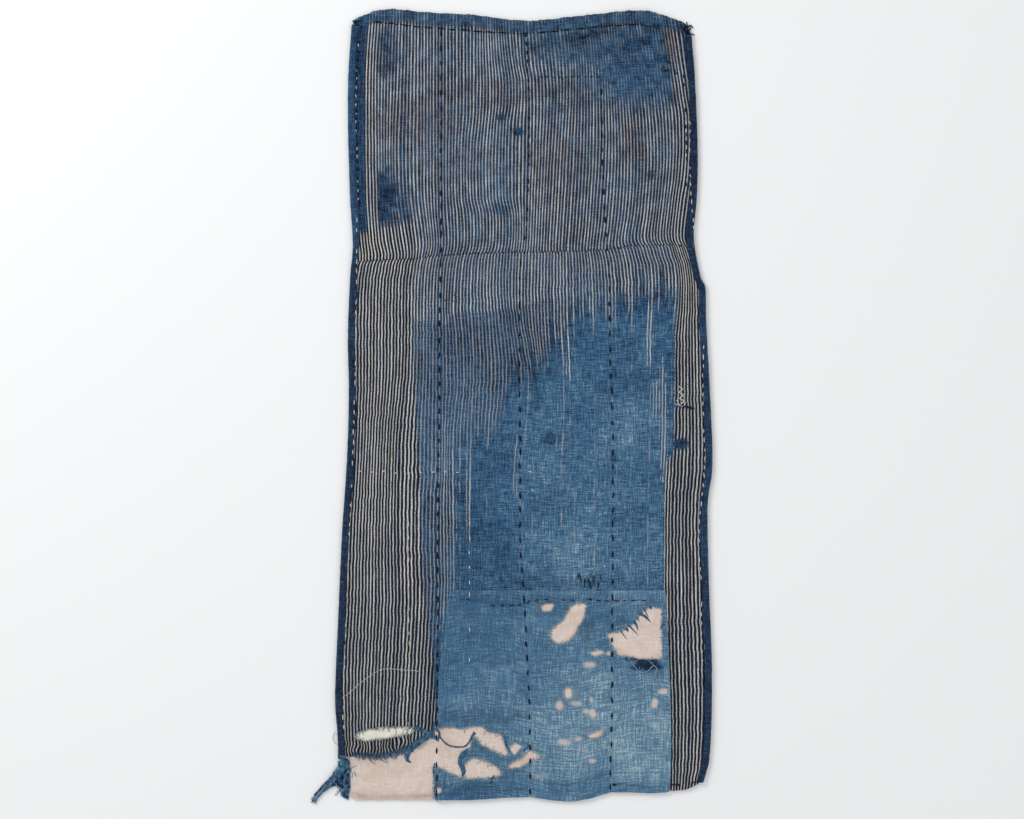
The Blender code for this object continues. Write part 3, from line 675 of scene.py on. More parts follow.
def indigo_cloth(name, striped, thread_contrast, slub_length):
    """Plain-woven cotton in indigo, with cream warp stripes if striped."""
    material, tree, shader = new_material(name, 0.88)
    place = add(tree, "ShaderNodeAttribute", {}, out="Vector", attribute_name="thread")
    fade, dark = [add(tree, "ShaderNodeAttribute", {}, out="Fac", attribute_name=key)
                  for key in ("fade", "dark")]
    warp_slub = slub_field(tree, place, 1.3, slub_length)
    weft_slub = slub_field(tree, place, slub_length, 1.3)
    grain = slub_field(tree, place, 1.4, 1.4)
    cloud = slub_field(tree, place, 36.0, 26.0, 3.0)
    # Threads: both slubs and the grain, about -0.5 to 0.5 round their mean
    both = add(tree, "ShaderNodeMath", {0: warp_slub, 1: weft_slub}, operation="ADD")
    three = add(tree, "ShaderNodeMath", {0: grain, 1: 0.9, 2: both}, operation="MULTIPLY_ADD")
    thread = add(tree, "ShaderNodeMath", {0: three, 1: 1.45}, operation="SUBTRACT")
    # Fading: the worn level, moved by the threads and by slow clouds
    cloudy = add(tree, "ShaderNodeMath", {0: cloud, 1: 0.24, 2: fade}, operation="MULTIPLY_ADD")
    level = add(tree, "ShaderNodeMath", {0: thread, 1: thread_contrast, 2: cloudy},
                operation="MULTIPLY_ADD")
    level = add(tree, "ShaderNodeMath", {0: level, 1: 0.12}, operation="SUBTRACT")
    ramp = tree.nodes.new("ShaderNodeValToRGB")
    while len(ramp.color_ramp.elements) < len(INDIGO):
        ramp.color_ramp.elements.new(0.5)
    for element, (at, code) in zip(ramp.color_ramp.elements, INDIGO):
        element.position = at
        element.color = linear(code)
    tree.links.new(level, ramp.inputs["Fac"])
    colour = ramp.outputs["Color"]
    height = thread
    if striped:
        show, last, tan = [add(tree, "ShaderNodeAttribute", {}, out="Fac", attribute_name=key)
                           for key in ("show", "last", "tan")]
        # Stripes wander a little, as hand-beaten threads do
        wander = slub_field(tree, place, 7.0, 26.0)
        parts = tree.nodes.new("ShaderNodeSeparateXYZ")
        tree.links.new(place, parts.inputs[0])
        warp, weft = parts.outputs["X"], parts.outputs["Y"]
        moved = add(tree, "ShaderNodeMath", {0: wander, 1: 0.9, 2: warp}, operation="MULTIPLY_ADD")
        count = add(tree, "ShaderNodeMath", {0: moved, 1: 1 / PITCH}, operation="MULTIPLY")
        which = add(tree, "ShaderNodeMath", {0: count}, operation="FLOOR")
        part = add(tree, "ShaderNodeMath", {0: count}, operation="FRACT")
        off = add(tree, "ShaderNodeMath", {0: part, 1: 0.5}, operation="SUBTRACT")
        away = add(tree, "ShaderNodeMath", {0: off}, operation="ABSOLUTE")
        luck = add(tree, "ShaderNodeTexWhiteNoise", {"W": which}, noise_dimensions="1D")
        half = add(tree, "ShaderNodeMapRange", {"Value": luck, "To Min": CREAM_SHARE * 0.42,
                   "To Max": CREAM_SHARE * 0.6})
        inner = add(tree, "ShaderNodeMath", {0: half, 1: 0.05}, operation="SUBTRACT")
        outer = add(tree, "ShaderNodeMath", {0: half, 1: 0.05}, operation="ADD")
        band = add(tree, "ShaderNodeMapRange", {"Value": away, "From Min": outer,
                   "From Max": inner}, interpolation_type="SMOOTHSTEP")
        # Where the stripes run out, each has its own luck and breaks up before its end
        row = add(tree, "ShaderNodeCombineXYZ", {"X": which, "Y": weft})
        broken = slub_field(tree, row, 0.37, 24.0)
        end = add(tree, "ShaderNodeMath", {0: luck, 1: 34.0, 2: last}, operation="MULTIPLY_ADD")
        end = add(tree, "ShaderNodeMath", {0: broken, 1: 50.0, 2: end}, operation="MULTIPLY_ADD")
        lasts = add(tree, "ShaderNodeMapRange", {"Value": end, "From Min": 32.0,
                    "From Max": 54.0})
        uneven = add(tree, "ShaderNodeMapRange", {"Value": broken, "From Min": 0.34,
                     "From Max": 0.66, "To Min": 0.72, "To Max": 1.12})
        each = add(tree, "ShaderNodeMapRange", {"Value": luck, "To Min": 0.78, "To Max": 1.1})
        beads = add(tree, "ShaderNodeMapRange", {"Value": grain, "From Min": 0.3, "From Max": 0.6,
                    "To Min": 0.5, "To Max": 1.0})
        present = show
        for part in (lasts, uneven, each, beads):
            present = add(tree, "ShaderNodeMath", {0: present, 1: part}, operation="MULTIPLY",
                          use_clamp=True)
        strength = add(tree, "ShaderNodeMath", {0: band, 1: present}, operation="MULTIPLY")
        # The yarns beside a cream one are the deepest dyed, so they edge it
        edging = add(tree, "ShaderNodeMath", {0: half, 1: 0.2}, operation="ADD")
        beside = add(tree, "ShaderNodeMapRange", {"Value": away, "From Min": edging,
                     "From Max": half, "To Max": 0.46})
        beside = add(tree, "ShaderNodeMath", {0: beside, 1: present}, operation="MULTIPLY")
        kept = add(tree, "ShaderNodeMath", {0: 1.0, 1: beside}, operation="SUBTRACT")
        colour = add(tree, "ShaderNodeVectorMath", {0: colour, "Scale": kept}, operation="SCALE")
        cream = add(tree, "ShaderNodeMix", {"Factor": fade, "A": linear(CREAM),
                    "B": linear(CREAM_WORN)}, out=2, data_type="RGBA")
        cream = add(tree, "ShaderNodeMix", {"Factor": tan, "A": cream, "B": linear(RUST_TAN)},
                    out=2, data_type="RGBA")
        colour = add(tree, "ShaderNodeMix", {"Factor": strength, "A": colour, "B": cream},
                     out=2, data_type="RGBA")
        height = add(tree, "ShaderNodeMath", {0: band, 1: 0.35, 2: thread},
                     operation="MULTIPLY_ADD")
    else:
        # Worn to its last threads, the patch lets the lining's colour through
        bare = add(tree, "ShaderNodeAttribute", {}, out="Fac", attribute_name="bare")
        holds = add(tree, "ShaderNodeMath", {0: thread, 1: -1.1, 2: bare},
                    operation="MULTIPLY_ADD")
        through = add(tree, "ShaderNodeMapRange", {"Value": holds, "From Min": 0.3,
                      "From Max": 1.0, "To Max": 0.92})
        colour = add(tree, "ShaderNodeMix", {"Factor": through, "A": colour,
                     "B": linear(LINING_BELOW)}, out=2, data_type="RGBA")
    # Darker where the dark attribute asks: dark spots and darns, and painted shade in creases, round
    # holes and under edges
    deep = add(tree, "ShaderNodeMapRange", {"Value": dark, "To Min": 1.0, "To Max": 0.25})
    colour = add(tree, "ShaderNodeVectorMath", {0: colour, "Scale": deep}, operation="SCALE")
    finish_shader(tree, shader, colour, height, 0.55, YARN_RISE)
    return material


striped_cotton = indigo_cloth("striped indigo cotton, plain woven", True, 0.7, 14.0)
faded_cotton = indigo_cloth("faded indigo cotton, plain woven", False, 0.6, 17.0)


# %% Undyed cloths
# Brownish grey for painted shade and dust on the undyed cloths
SHADE_AND_DUST = "#8f7a74"


def undyed_cloth(name, pale, deep, stain):
    """Plain-woven cotton that was never dyed, or has lost it all, with old water stains."""
    material, tree, shader = new_material(name, 0.9)
    place = in_millimetres(tree)
    warp_slub = slub_field(tree, place, 1.2, 14.0)
    weft_slub = slub_field(tree, place, 12.0, 1.2)
    cloud = slub_field(tree, place, 26.0, 20.0, 3.0)
    both = add(tree, "ShaderNodeMath", {0: warp_slub, 1: weft_slub}, operation="ADD")
    tone = add(tree, "ShaderNodeMapRange", {"Value": both, "From Min": 0.7, "From Max": 1.3})
    colour = add(tree, "ShaderNodeMix", {"Factor": tone, "A": linear(deep), "B": linear(pale)},
                 out=2, data_type="RGBA")
    old = add(tree, "ShaderNodeMapRange", {"Value": cloud, "From Min": 0.48, "From Max": 0.72,
              "To Max": 0.7})
    colour = add(tree, "ShaderNodeMix", {"Factor": old, "A": colour, "B": linear(stain)},
                 out=2, data_type="RGBA")
    # Painted shade under overhanging edges and along creases, with dust and dye that have run in from
    # the edge of the indigo
    shade = add(tree, "ShaderNodeAttribute", {}, out="Fac", attribute_name="shade")
    colour = add(tree, "ShaderNodeMix", {"Factor": shade, "A": colour, "B": linear(SHADE_AND_DUST)},
                 out=2, data_type="RGBA")
    finish_shader(tree, shader, colour, both, 0.5, YARN_RISE)
    return material


lining_cotton = undyed_cloth("pale lining cotton, washed", "#e3d5cd", "#cfbeb5", "#cbb6a6")
cream_cotton = undyed_cloth("cream cotton, plain woven", "#f1f0e6", "#dad8ca", "#dfdbcb")


# %% Threads
def thread_yarn(name, code, worn):
    """Twisted cotton yarn in two tones, with painted shade in the grooves that wind round it."""
    material, tree, shader = new_material(name, 0.85)
    place = in_millimetres(tree)
    tone = add(tree, "ShaderNodeTexNoise", {"Vector": place, "Scale": 0.7, "Detail": 2.0})
    twist = add(tree, "ShaderNodeTexWave", {"Vector": place, "Scale": 0.55, "Distortion": 2.0},
                out="Fac", bands_direction="DIAGONAL")
    colour = add(tree, "ShaderNodeMix", {"Factor": tone, "A": linear(code), "B": linear(worn)},
                 out=2, data_type="RGBA")
    # Painted shade in the grooves of the twist
    shade = add(tree, "ShaderNodeMapRange", {"Value": twist, "To Min": 0.72, "To Max": 1.0})
    colour = add(tree, "ShaderNodeVectorMath", {0: colour, "Scale": shade}, operation="SCALE")
    finish_shader(tree, shader, colour, twist, 0.5, TWIST_RISE)
    return material


dark_yarn = thread_yarn("dark indigo sashiko thread", "#0a101c", "#17243a")
pale_yarn = thread_yarn("undyed sewing thread", "#f4f0e6", "#d4ccbe")
fray_yarn = thread_yarn("frayed weft, faded indigo", "#5d85a0", "#9fb9c6")
blue_yarn = thread_yarn("frayed weft, dark indigo", "#24425f", "#40688a")
print(len(bpy.data.materials), "materials")

# %% [markdown]
# ## The pale lining
# Under everything lies one plain cloth, undyed or washed out to a pinkish beige. It is seen through the
# holes and below the torn left foot, where it is the face of the piece.

# %% Lining
SHEET_THICK = 0.75


def finish_sheet(made, material, node):
    """Gives a sheet its material, hangs it under the root body and hides the part of the model that it
    stands in for.
    """
    made.data.materials.append(material)
    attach(made, "root")
    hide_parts(node)
    return made


LINING_CELL = 3.2
CLOTH_AND_GAP = 0.95  # how far under the patch's face the lining lies at the edge of a hole
LINING_TOP = 1.0
HEM_CREASE = (
    # strength, half width, points
    (0.9, 2.0, ((-160, -395.6), (-149, -400), (-120, -399.5), (-98, -399), (-78, -396))),
)

lining_ring = ragged(soften(resample(rims_of("backing")[0], 3.0), 2), 0.25, 31)
points, triangles = triangulate([lining_ring], LINING_CELL)
x, y = points.T
lower_rims = rims_of("lower_cloth")
at_foot = [-168 < px < -74 and py < -324 for px, py in lower_rims[0]]
foot_arc = resample(arcs_of(lower_rims[0], np.array(at_foot))[0], 2.0, False)
low_left = ease((-322 - y) / 20) * ease((-70 - x) / 12)
lining_top = LINING_TOP + low_left * (0.7 + 0.5 * rumple(x, y, 24.0, 33) + 0.25 * rumple(x, y, 9.0, 34))
lining_top = np.maximum(lining_top, 0.8)
patch_face = Heights("blue_patch")
patch_rims = rims_of("blue_patch")
in_bay = [px < 0 and -384 < py < -322 for px, py in patch_rims[0]]
for ring in patch_rims[1:] + arcs_of(patch_rims[0], np.array(in_bay)):
    # The lining rises to the underside of the patch round each hole, and sags in the wide ones
    near = (np.abs(x - ring[:, 0].mean()) < np.ptp(ring[:, 0])) & (
        np.abs(y - ring[:, 1].mean()) < np.ptp(ring[:, 1]) + 8)
    px, py = x[near], y[near]
    away = to_line(px, py, np.vstack([ring, ring[:1]]))
    within = inside(px, py, [ring])
    rise = np.where(within, 1 - 0.7 * ease((away - 2) / 12), ease((5 - away) / 5))
    face = LINING_TOP + rise * np.maximum(patch_face.at(px, py) - CLOTH_AND_GAP - LINING_TOP, 0)
    lining_top[near] = np.maximum(lining_top[near], face)
# shade: painted shadow below the torn foot and a painted crease line near the bottom, both with brown
# dust, and darker towards the left and bottom edges
below_foot = from_rim(x, y, [foot_arc])
lining_facts = {
    "shade": np.maximum(0.7 * np.exp(-below_foot / 4.0), 0.6 * lines(x, y, HEM_CREASE))
    + 0.25 * ease((-160 - x) / 6) * low_left + 0.12 * ease((-392 - y) / 8),
}
lining = sheet_object("pale_lining", points, triangles, lining_top, SHEET_THICK, lining_facts)
finish_sheet(lining, lining_cotton, "backing")

# %% [markdown]
# ## The upper striped cloth
# Woven with a cream stripe every 3.25 mm. It has been washed to a mid blue, more so along the turned
# top hem, and a spill of fresh indigo hides the stripes low on its left.

# %% Upper cloth
UPPER_CELL = 2.0
KEPT = 200.0  # "last" where stripes never run out
TOP_EDGE = (
    # (x, y)
    (-170, 390), (-161, 394), (-142, 403), (-117, 405), (-94, 402), (-40, 399), (11, 393),
    (61, 397), (115, 403), (136, 404), (174, 392), (190, 386),
)
UPPER_DARK = (
    # x, y, half width, half height, strength
    (-133, 212, 13, 26, 0.15), (-134, 196, 8, 8, 0.08), (7, 280, 5, 4, 0.4),
    (-10.6, 295, 4.5, 3, 0.3),
    (152, 384, 20, 7, 0.35), (161, 350, 6, 16, 0.32), (165, 316, 7, 7, 0.35), (142, 236, 4, 5, 0.4),
    (90, 372, 50, 12, 0.2), (-129, 352, 12, 18, 0.2), (100, 320, 60, 22, 0.12),
    (28, 368, 14, 14, 0.3),
)
UPPER_PLAIN = (
    # where the stripes hardly show
    (-131, 212, 16, 28, 0.95), (-114, 204, 14, 20, 0.55), (7, 280, 5.5, 4.5, 0.9),
    (-10.6, 295, 4.5, 3.5, 0.6), (-15, 201, 13, 6, 0.45), (128, 350, 46, 42, 0.8),
    (74, 370, 60, 24, 0.66), (60, 325, 40, 20, 0.3),
    (150, 384, 24, 9, 0.8), (160, 350, 9, 22, 0.8), (164, 316, 9, 9, 0.8), (-129, 362, 12, 28, 0.6),
    (44, 300, 10, 15, 0.35), (142, 236, 4, 5, 0.7), (34, 372, 20, 14, 0.5), (-105, 170, 4, 12, 0.6),
)
UPPER_FADED = ((128, 348, 52, 46, 1.0), (74, 368, 56, 24, 0.7), (-60, 230, 60, 60, 0.35))
TAN_SPOTS = (
    (-95, 290, 45, 22, 0.6), (-60, 250, 60, 16, 0.35), (50, 250, 40, 22, 0.45),
    (124, 268, 12, 22, 0.6), (-30, 322, 60, 14, 0.3), (160, 366, 12, 16, 0.8), (-150, 262, 6, 40, 0.3),
)

upper_ring = soften(resample(rims_of("upper_cloth")[0], 1.8), 1)
upper_ring = ragged(upper_ring, 0.22 + 0.5 * ease((upper_ring[:, 1] - 380) / 8), 41)
points, triangles = triangulate([upper_ring], UPPER_CELL)
x, y = points.T
heights = Heights("upper_cloth")
from_top = along(TOP_EDGE, x) - y
hem_fold = np.exp(-(((from_top - 12.5) / 2.2) ** 2))
upper_top = heights.at(x, y) + wrinkles(x, y, 43) - 1.2 * hem_fold
upper_top += 0.5 * ease((14 - from_top) / 6) * np.sin(x * TAU / 9.5 + 2.4 * rumple(x, y, 26, 45))
upper_top = above_lining(upper_top) - 1.1 * ease((1.6 - from_top) / 2.4)
upper_warp = warp_place(x, y, UPPER_GUIDES, UPPER_DRAG, UPPER_DRAG_REACH)
hem = ease((13.5 - from_top) / 3)
foot_line = 184 + 0.14 * (x + 140)
low_crisp = ease((-92 - x) / 10) * ease((foot_line - y) / 6)
left_crisp = ease((-138 - upper_warp) / 5 + 0.5) * (1 - hem)
right_crisp = ease((upper_warp - 167) / 4 + 0.5)
right_foot = ease((x - 124) / 14) * ease((206 + 0.4 * (x - 150) - y) / 20)
sides = np.maximum.reduce([left_crisp, right_crisp, 0.6 * right_foot])
margin = ease((-149.5 - upper_warp) / 1.5) * ease((y - 172) / 10)
mottle = ease(0.5 + 0.9 * rumple(x, y, 15, 49)) * (1 - sides) * (1 - low_crisp)
plain = spots(x, y, UPPER_PLAIN, 0.9) * (1 - low_crisp) * (1 - sides)
hem_dashes = hem * (0.5 + 0.5 * np.sin(x * TAU / 19 + 3 * rumple(x, y, 40, 48)))
upper_facts = {
    "thread": np.column_stack([upper_warp, y, 0 * x]),
    "show": (0.92 - 0.86 * plain - 0.26 * mottle + 0.08 * low_crisp + 0.06 * sides)
    * (1 - margin) * (1 - 0.6 * hem - 0.25 * hem_dashes),
    "last": np.full(len(x), KEPT),
    "fade": 0.27 + 0.05 * rumple(x, y, 90, 47) + 0.13 * hem - 0.04 * mottle - 0.22 * low_crisp
    + 0.1 * margin - 0.12 * sides + 0.13 * spots(x, y, UPPER_FADED),
    # dark: dark spots, the hem's dark dashes, and painted shade in the fold below the hem
    "dark": np.maximum.reduce([spots(x, y, UPPER_DARK, 0.9),
                               0.4 * hem_fold * (1 - 0.7 * hem_dashes), 0.3 * hem_dashes]),
    "tan": spots(x, y, TAN_SPOTS, 1.0),
}
upper = sheet_object("upper_striped_cloth", points, triangles, upper_top, SHEET_THICK, upper_facts)
finish_sheet(upper, striped_cotton, "upper_cloth")

# %% [markdown]
# ## The lower striped cloth
# The same stripe, from another part of a garment. Down both sides, where it lay under a fold, it kept
# its navy and cream. In the middle sun and washing have taken the stripes away thread by thread.

# %% Lower cloth
STRIPES_END = (
    # x, then the y at which its stripes are half gone
    (-110, -420), (-92, -400), (-80, -290), (-66, -160), (-56, -62), (-40, -42), (-12, -18),
    (4, 14), (16, 34), (30, 52), (44, 72), (60, 84), (80, 92), (100, 98), (130, 106), (158, 110),
)
CRISP_EDGE = (
    # y, then the x where the navy and cream of the left leg ends
    (160, -101), (60, -101), (20, -99.5), (-20, -97), (-60, -95), (-120, -93), (-185, -91),
    (-215, -87), (-240, -83), (-270, -80), (-300, -78), (-330, -76), (-360, -76),
)
# Below this line the stripes took up a second, bluer dye: (x, y)
TIDE_LINE = ((-100, 90), (-68, 86), (-60, 96), (-30, 98), (8, 104), (40, 112), (160, 124))
LOWER_CELL = 2.2
LOWER_DARK = (
    (39, -32, 7, 6, 0.4), (104, -55, 3.5, 4, 0.45), (172, -39, 8, 6, 0.35),
    (174.5, -112, 2.4, 48, 0.3), (-68, 112, 3, 22, 0.3), (-40, -150, 50, 30, 0.14),
    (50, -180, 60, 7, 0.2), (12, -182, 8, 8, 0.3),
)
LOWER_SHADE_AND_DARN_LINES = (
    # painted shade in two pleats and along the leg's lapped edge over the patch, and the dark of a
    # darn: strength, half width, points
    (0.6, 1.0, ((8, 66), (13, 50), (18.5, 39.5), (24, 30), (27, 14), (26, -2))),
    (0.5, 1.2, ((184, -152), (184.6, -172), (184, -190))),
    (0.45, 1.0, ((165, 4), (172, 0), (183, -2))),
    (0.3, 1.6, ((158.5, -188), (161, -225), (163.5, -275), (164.5, -310), (164.5, -370))),
)
RAN_STRIPES = (
    # lone cream stripes that lasted: x, y, half width, half height, strength
    (152.5, -10, 2.2, 62, 2.6), (156.5, -20, 1.8, 46, 2.0), (-70, -120, 14, 110, 1.6),
    (-44, -90, 3, 50, 1.6), (-60, -96, 3, 60, 1.6), (140, 74, 4, 30, 1.4), (4, -60, 3, 40, 1.3),
    (58, 52, 2.5, 26, 1.6), (146, 6, 4, 20, 1.0),
)
LIGHT_SPOTS = (
    (100, 20, 60, 40, 0.5), (70, -60, 70, 60, 0.5), (60, -150, 70, 40, 0.8),
    (-20, -160, 46, 26, 0.5), (130, -150, 26, 40, 0.5), (112, 62, 50, 34, 0.9),
)
DARN_SPOTS = ((172, -39, 7.5, 5.5, 1.0),)
DARN_LINES = ((1.0, 1.7, ((164, 3), (172, 0), (183, -2))),)
# The right edge of the patch, which the leg laps: (y, x)
PATCH_RIGHT = ((-395, 160.5), (-370, 162), (-310, 162), (-275, 161), (-225, 158.5), (-188, 156.5))

lower_rings = [soften(resample(ring, 2.0), 2) for ring in lower_rims]
torn = [ease((-318 - ring[:, 1]) / 6) * ease((-74 - ring[:, 0]) / 6) for ring in lower_rings]
lower_rings = [ragged(r, 0.2 + 0.9 * t, 51) for r, t in zip(lower_rings, torn)]
lower_rings[1] = widen(ragged(lower_rings[1], np.full(len(lower_rings[1]), 0.8), 55), 0.9)
points, triangles = triangulate(lower_rings, LOWER_CELL)
x, y = points.T
heights = Heights("lower_cloth")
lower_warp = warp_place(x, y, LOWER_GUIDES, LOWER_DRAG, LOWER_DRAG_REACH)
leg_edge = np.where(y < -186, np.exp(-(((x - along(PATCH_RIGHT, y) - 2.2) / 2.0) ** 2)), 0.0)
gather = ease((-335 - y) / 6) * ease((-84 - x) / 6)
lower_warp = lower_warp + gather * 1.3 * rumple(x, y, 13, 54) + 0.3 * rumple(0.3 * x, y, 13, 56)
lower_top = heights.at(x, y) + wrinkles(x, y, 53) + 0.9 * leg_edge
lower_top += 0.7 * gather * np.sin(x * TAU / 7.0 + 1.4 * rumple(x, y, 18, 58))
lower_top = above_lining(lower_top)
crisp_left = ease((along(CRISP_EDGE, y) - x) / 2.5 + 0.5)
strip_start = 167 - 7.0 * ease((-48 - y) / 12)
crisp_right = ease((lower_warp - strip_start) / 2 + 0.5)
crisp = np.maximum(crisp_left, crisp_right)
under = ease((along(TIDE_LINE, x) - y) / 5) * (1 - crisp)
dip = under * (1 - 0.75 * ease((x - 10) / 50))
light = spots(x, y, LIGHT_SPOTS, 1.0)
ran = spots(x, y, RAN_STRIPES)
darned = np.maximum(spots(x, y, DARN_SPOTS), lines(x, y, DARN_LINES))
last = (y - along(STRIPES_END, x)) * 0.8
worn_plain = ease(0.5 - last / 30)
foot_band = ease((5.0 - from_rim(x, y, [foot_arc])) / 1.6)
near_slit = from_rim(x, y, [lower_rings[1]])
lower_facts = {
    "thread": np.column_stack([lower_warp, y, 0 * x]),
    "show": (np.maximum(0.92 - 0.44 * dip, crisp) - 0.04 + 0.5 * np.clip(ran - 1, 0, 1)
             - 0.12 * crisp_left * ease((-100 - y) / 120))
    * (1 - darned) * (1 - 0.85 * foot_band),
    "last": np.where(crisp > 0.5, KEPT, np.maximum(last, 40 * ran - 20)),
    "fade": (0.30 + 0.05 * rumple(x, y, 80, 57) - 0.02 * dip + 0.09 * under * worn_plain
             + 0.14 * light + 0.14 * ease((60 - y) / 80)
             - 0.1 * ease((-30 - y) / 90) * ease((20 - x) / 40))
    * (1 - crisp) + 0.05 * crisp + 0.34 * foot_band + 0.3 * darned * crisp,
    # dark: dark spots, painted shade along pleats, the lapped leg edge and the edge of the slit, and
    # darker in the gathered foot
    "dark": np.maximum.reduce([spots(x, y, LOWER_DARK, 0.9), lines(x, y, LOWER_SHADE_AND_DARN_LINES),
                               0.4 * np.exp(-near_slit / 1.6), 0.25 * gather]),
    "tan": 0.25 * ease((y - 110) / 40) * (1 - crisp) + 0.12 * crisp * ease(rumple(x, y, 60, 59)),
}
lower = sheet_object("lower_striped_cloth", points, triangles, lower_top, SHEET_THICK, lower_facts)
finish_sheet(lower, striped_cotton, "lower_cloth")

# %% [markdown]
# ## The faded blue patch
# A soft, open cloth, let in at the foot with its top and left edges folded under. It has worn right
# through in several places, and to its last threads in more. Painted shade darkens the cloth round
# each hole, and the edges fray to pale threads.

# %% Patch
PATCH_CELL = 1.6
PATCH_LIGHT = (
    (60, -300, 34, 26, 0.5), (-40, -290, 40, 40, 0.35), (120, -330, 50, 40, 0.6),
    (40, -350, 70, 30, 0.5), (0.4, -291, 4, 4, 1.0),
)
PATCH_BARE = (
    # worn to the last threads
    (98.5, -252.5, 2.2, 2.2, 1.1), (78.5, -264, 7.5, 3.2, 0.95), (48.5, -305.5, 5.0, 4.4, 1.0),
    (65, -303, 6.2, 3.0, 0.8), (76, -311.5, 3.6, 2.6, 0.95), (82.5, -313.5, 3.4, 4.2, 1.15),
    (145.5, -303, 3.2, 4.4, 1.25), (154.5, -291, 5.0, 3.0, 1.1), (82, -362, 4.0, 2.6, 0.8),
    (53, -343, 7, 3.4, 0.85), (67, -339.5, 4, 2.6, 0.8), (-75, -392, 3.4, 3.0, 1.3),
    (81, -300, 2.0, 2.6, 0.85), (58, -295, 9, 9, 0.35), (30, -377, 10, 3.0, 0.4),
)
PATCH_DARK = (
    (137, -263.5, 14, 7, 0.25), (30, -200, 14, 8, 0.25), (110, -226, 12, 10, 0.2),
    (-30, -316, 50, 9, 0.25), (-40, -388, 40, 5, 0.3), (77, -228, 8, 16, 0.3),
    (-20, -372, 26, 8, 0.3), (-35, -342, 9, 10, 0.4),
)
CORNER_DYE = ((137, -263.5, 14, 6.5, 1.0), (122, -257.5, 8, 3, 0.7))  # below the corner hole
PATCH_HEM = ((-66, -196.5), (-31, -199), (-19, -204), (11, -203), (20, -198), (38, -197), (56, -198),
             (73, -197), (100, -199), (127, -198), (154, -200))
PATCH_SHADED_CREASES = (
    (0.35, 1.3, PATCH_HEM),
    (0.4, 0.8, ((21.5, -381), (38, -386), (58.5, -387), (79, -383), (99, -374))),
    (0.5, 0.8, ((101, -385), (131, -388), (153, -388))),
    (0.45, 0.9, ((-74, -395.6), (-40, -396), (-10, -393), (15.5, -389))),
    (0.3, 1.0, ((-64, -262), (-40, -258), (-16, -262), (10, -259))),
)
patch_rings = [soften(resample(ring, 1.5), 2) for ring in patch_rims]
x, y = patch_rings[0].T
bay = ease((-322 - y) / 4) * ease((y + 386) / 4) * ease((6 - x) / 4)
patch_rings[0] = ragged(patch_rings[0], 0.2 + 0.9 * bay, 61)
patch_rings[1:] = [widen(ragged(ring, np.full(len(ring), 0.9), 63 + k), 0.6)
                   for k, ring in enumerate(patch_rings[1:])]
points, triangles = triangulate(patch_rings, PATCH_CELL)
x, y = points.T
heights = Heights("blue_patch")
torn_rings = [patch_rings[0][bay > 0.5], *patch_rings[1:]]
from_hole = from_rim(x, y, torn_rings)
patch_top = heights.at(x, y) + wrinkles(x, y, 65, 0.42) - 0.8 * lines(x, y, PATCH_SHADED_CREASES)
hem_band = ease((y + 203) / 5)
patch_top += 0.4 * hem_band * np.sin(x * TAU / 10.5 + 2.2 * rumple(x, y, 30, 66))
patch_top = above_lining(patch_top + 0.3 * np.exp(-from_hole / 2.5))
bow = 5.0 * np.sin((x - 14) / 86 * math.pi) + 2.0 * rumple(x, y, 70, 67)
edge_light = ease((y + 192) / 2) + np.exp(-(((x - along(PATCH_RIGHT, y)) / 2.5) ** 2))
lower_right = ease((x + 60) / 150) * 0.6 + ease((-205 - y) / 120) * 0.4
patch_facts = {
    "thread": np.column_stack([x + 2.0 * rumple(x, y, 60, 68), y + bow, 0 * x]),
    "fade": 0.54 + 0.04 * rumple(x, y, 60, 69) + 0.2 * lower_right - 0.06 * ease((-378 - y) / 14)
    + 0.1 * spots(x, y, PATCH_LIGHT, 1.0) + 0.12 * np.exp(-from_hole / 0.8) + 0.02 * edge_light
    - 0.5 * spots(x, y, CORNER_DYE, 0.6),
    # dark: dark spots, painted shade in the creases and painted shade round each hole
    "dark": np.maximum.reduce([spots(x, y, PATCH_DARK), lines(x, y, PATCH_SHADED_CREASES),
                               0.2 * np.exp(-from_hole / 5.0) * (1 - np.exp(-from_hole / 0.8))]),
    "bare": spots(x, y, PATCH_BARE, 1.4),
}
patch = sheet_object("faded_blue_patch", points, triangles, patch_top, SHEET_THICK, patch_facts)
finish_sheet(patch, faded_cotton, "blue_patch")

# %% [markdown]
# ## The cream cloth behind the slit
# A scrap of undyed cotton pushed behind a tear in the left leg, seen only through the tear.

# %% Slit patch
SLIT_CELL, SCRAP_THICK = 1.7, 0.6
slit_rim = soften(resample(rims_of("slit_patch")[0], 1.5), 1)
points, triangles = triangulate([slit_rim], SLIT_CELL)
x, y = points.T
slit_top = 2.8 + 0.3 * rumple(x, y, 9.0, 71) + 0.2 * rumple(x, y, 22.0, 72)
# Painted shade where the torn edge of the leg overhangs the scrap
slit_facts = {"shade": 0.25 * np.exp(-from_rim(x, y, [lower_rings[1]]) / 1.2)}
slit_patch = sheet_object("cream_slit_patch", points, triangles, slit_top, SCRAP_THICK,
                          slit_facts)
finish_sheet(slit_patch, cream_cotton, "slit_patch")

# %% [markdown]
# ## The bindings
# A narrow navy strip is folded round each long edge: it stands up the edge, turns over and lies on the
# face, with its raw edge tucked under. Sweeping that section down the edge gives the strip, and its
# width and height drift as hand sewing does.

# %% Bindings
BINDING_SECTION = (
    # in from the edge, up from the surface: over the outside, then back along the inside
    (0.55, 0.15), (0.15, 0.8), (0.0, 1.8), (0.05, 2.9), (0.5, 3.7), (1.4, 4.1), (2.8, 4.2),
    (4.6, 4.15), (6.3, 4.0), (7.3, 3.6), (7.5, 3.1), (7.0, 2.85), (5.0, 3.3), (2.8, 3.45),
    (1.5, 3.3), (0.95, 2.7), (0.85, 1.8), (0.9, 0.9), (0.95, 0.2),
)
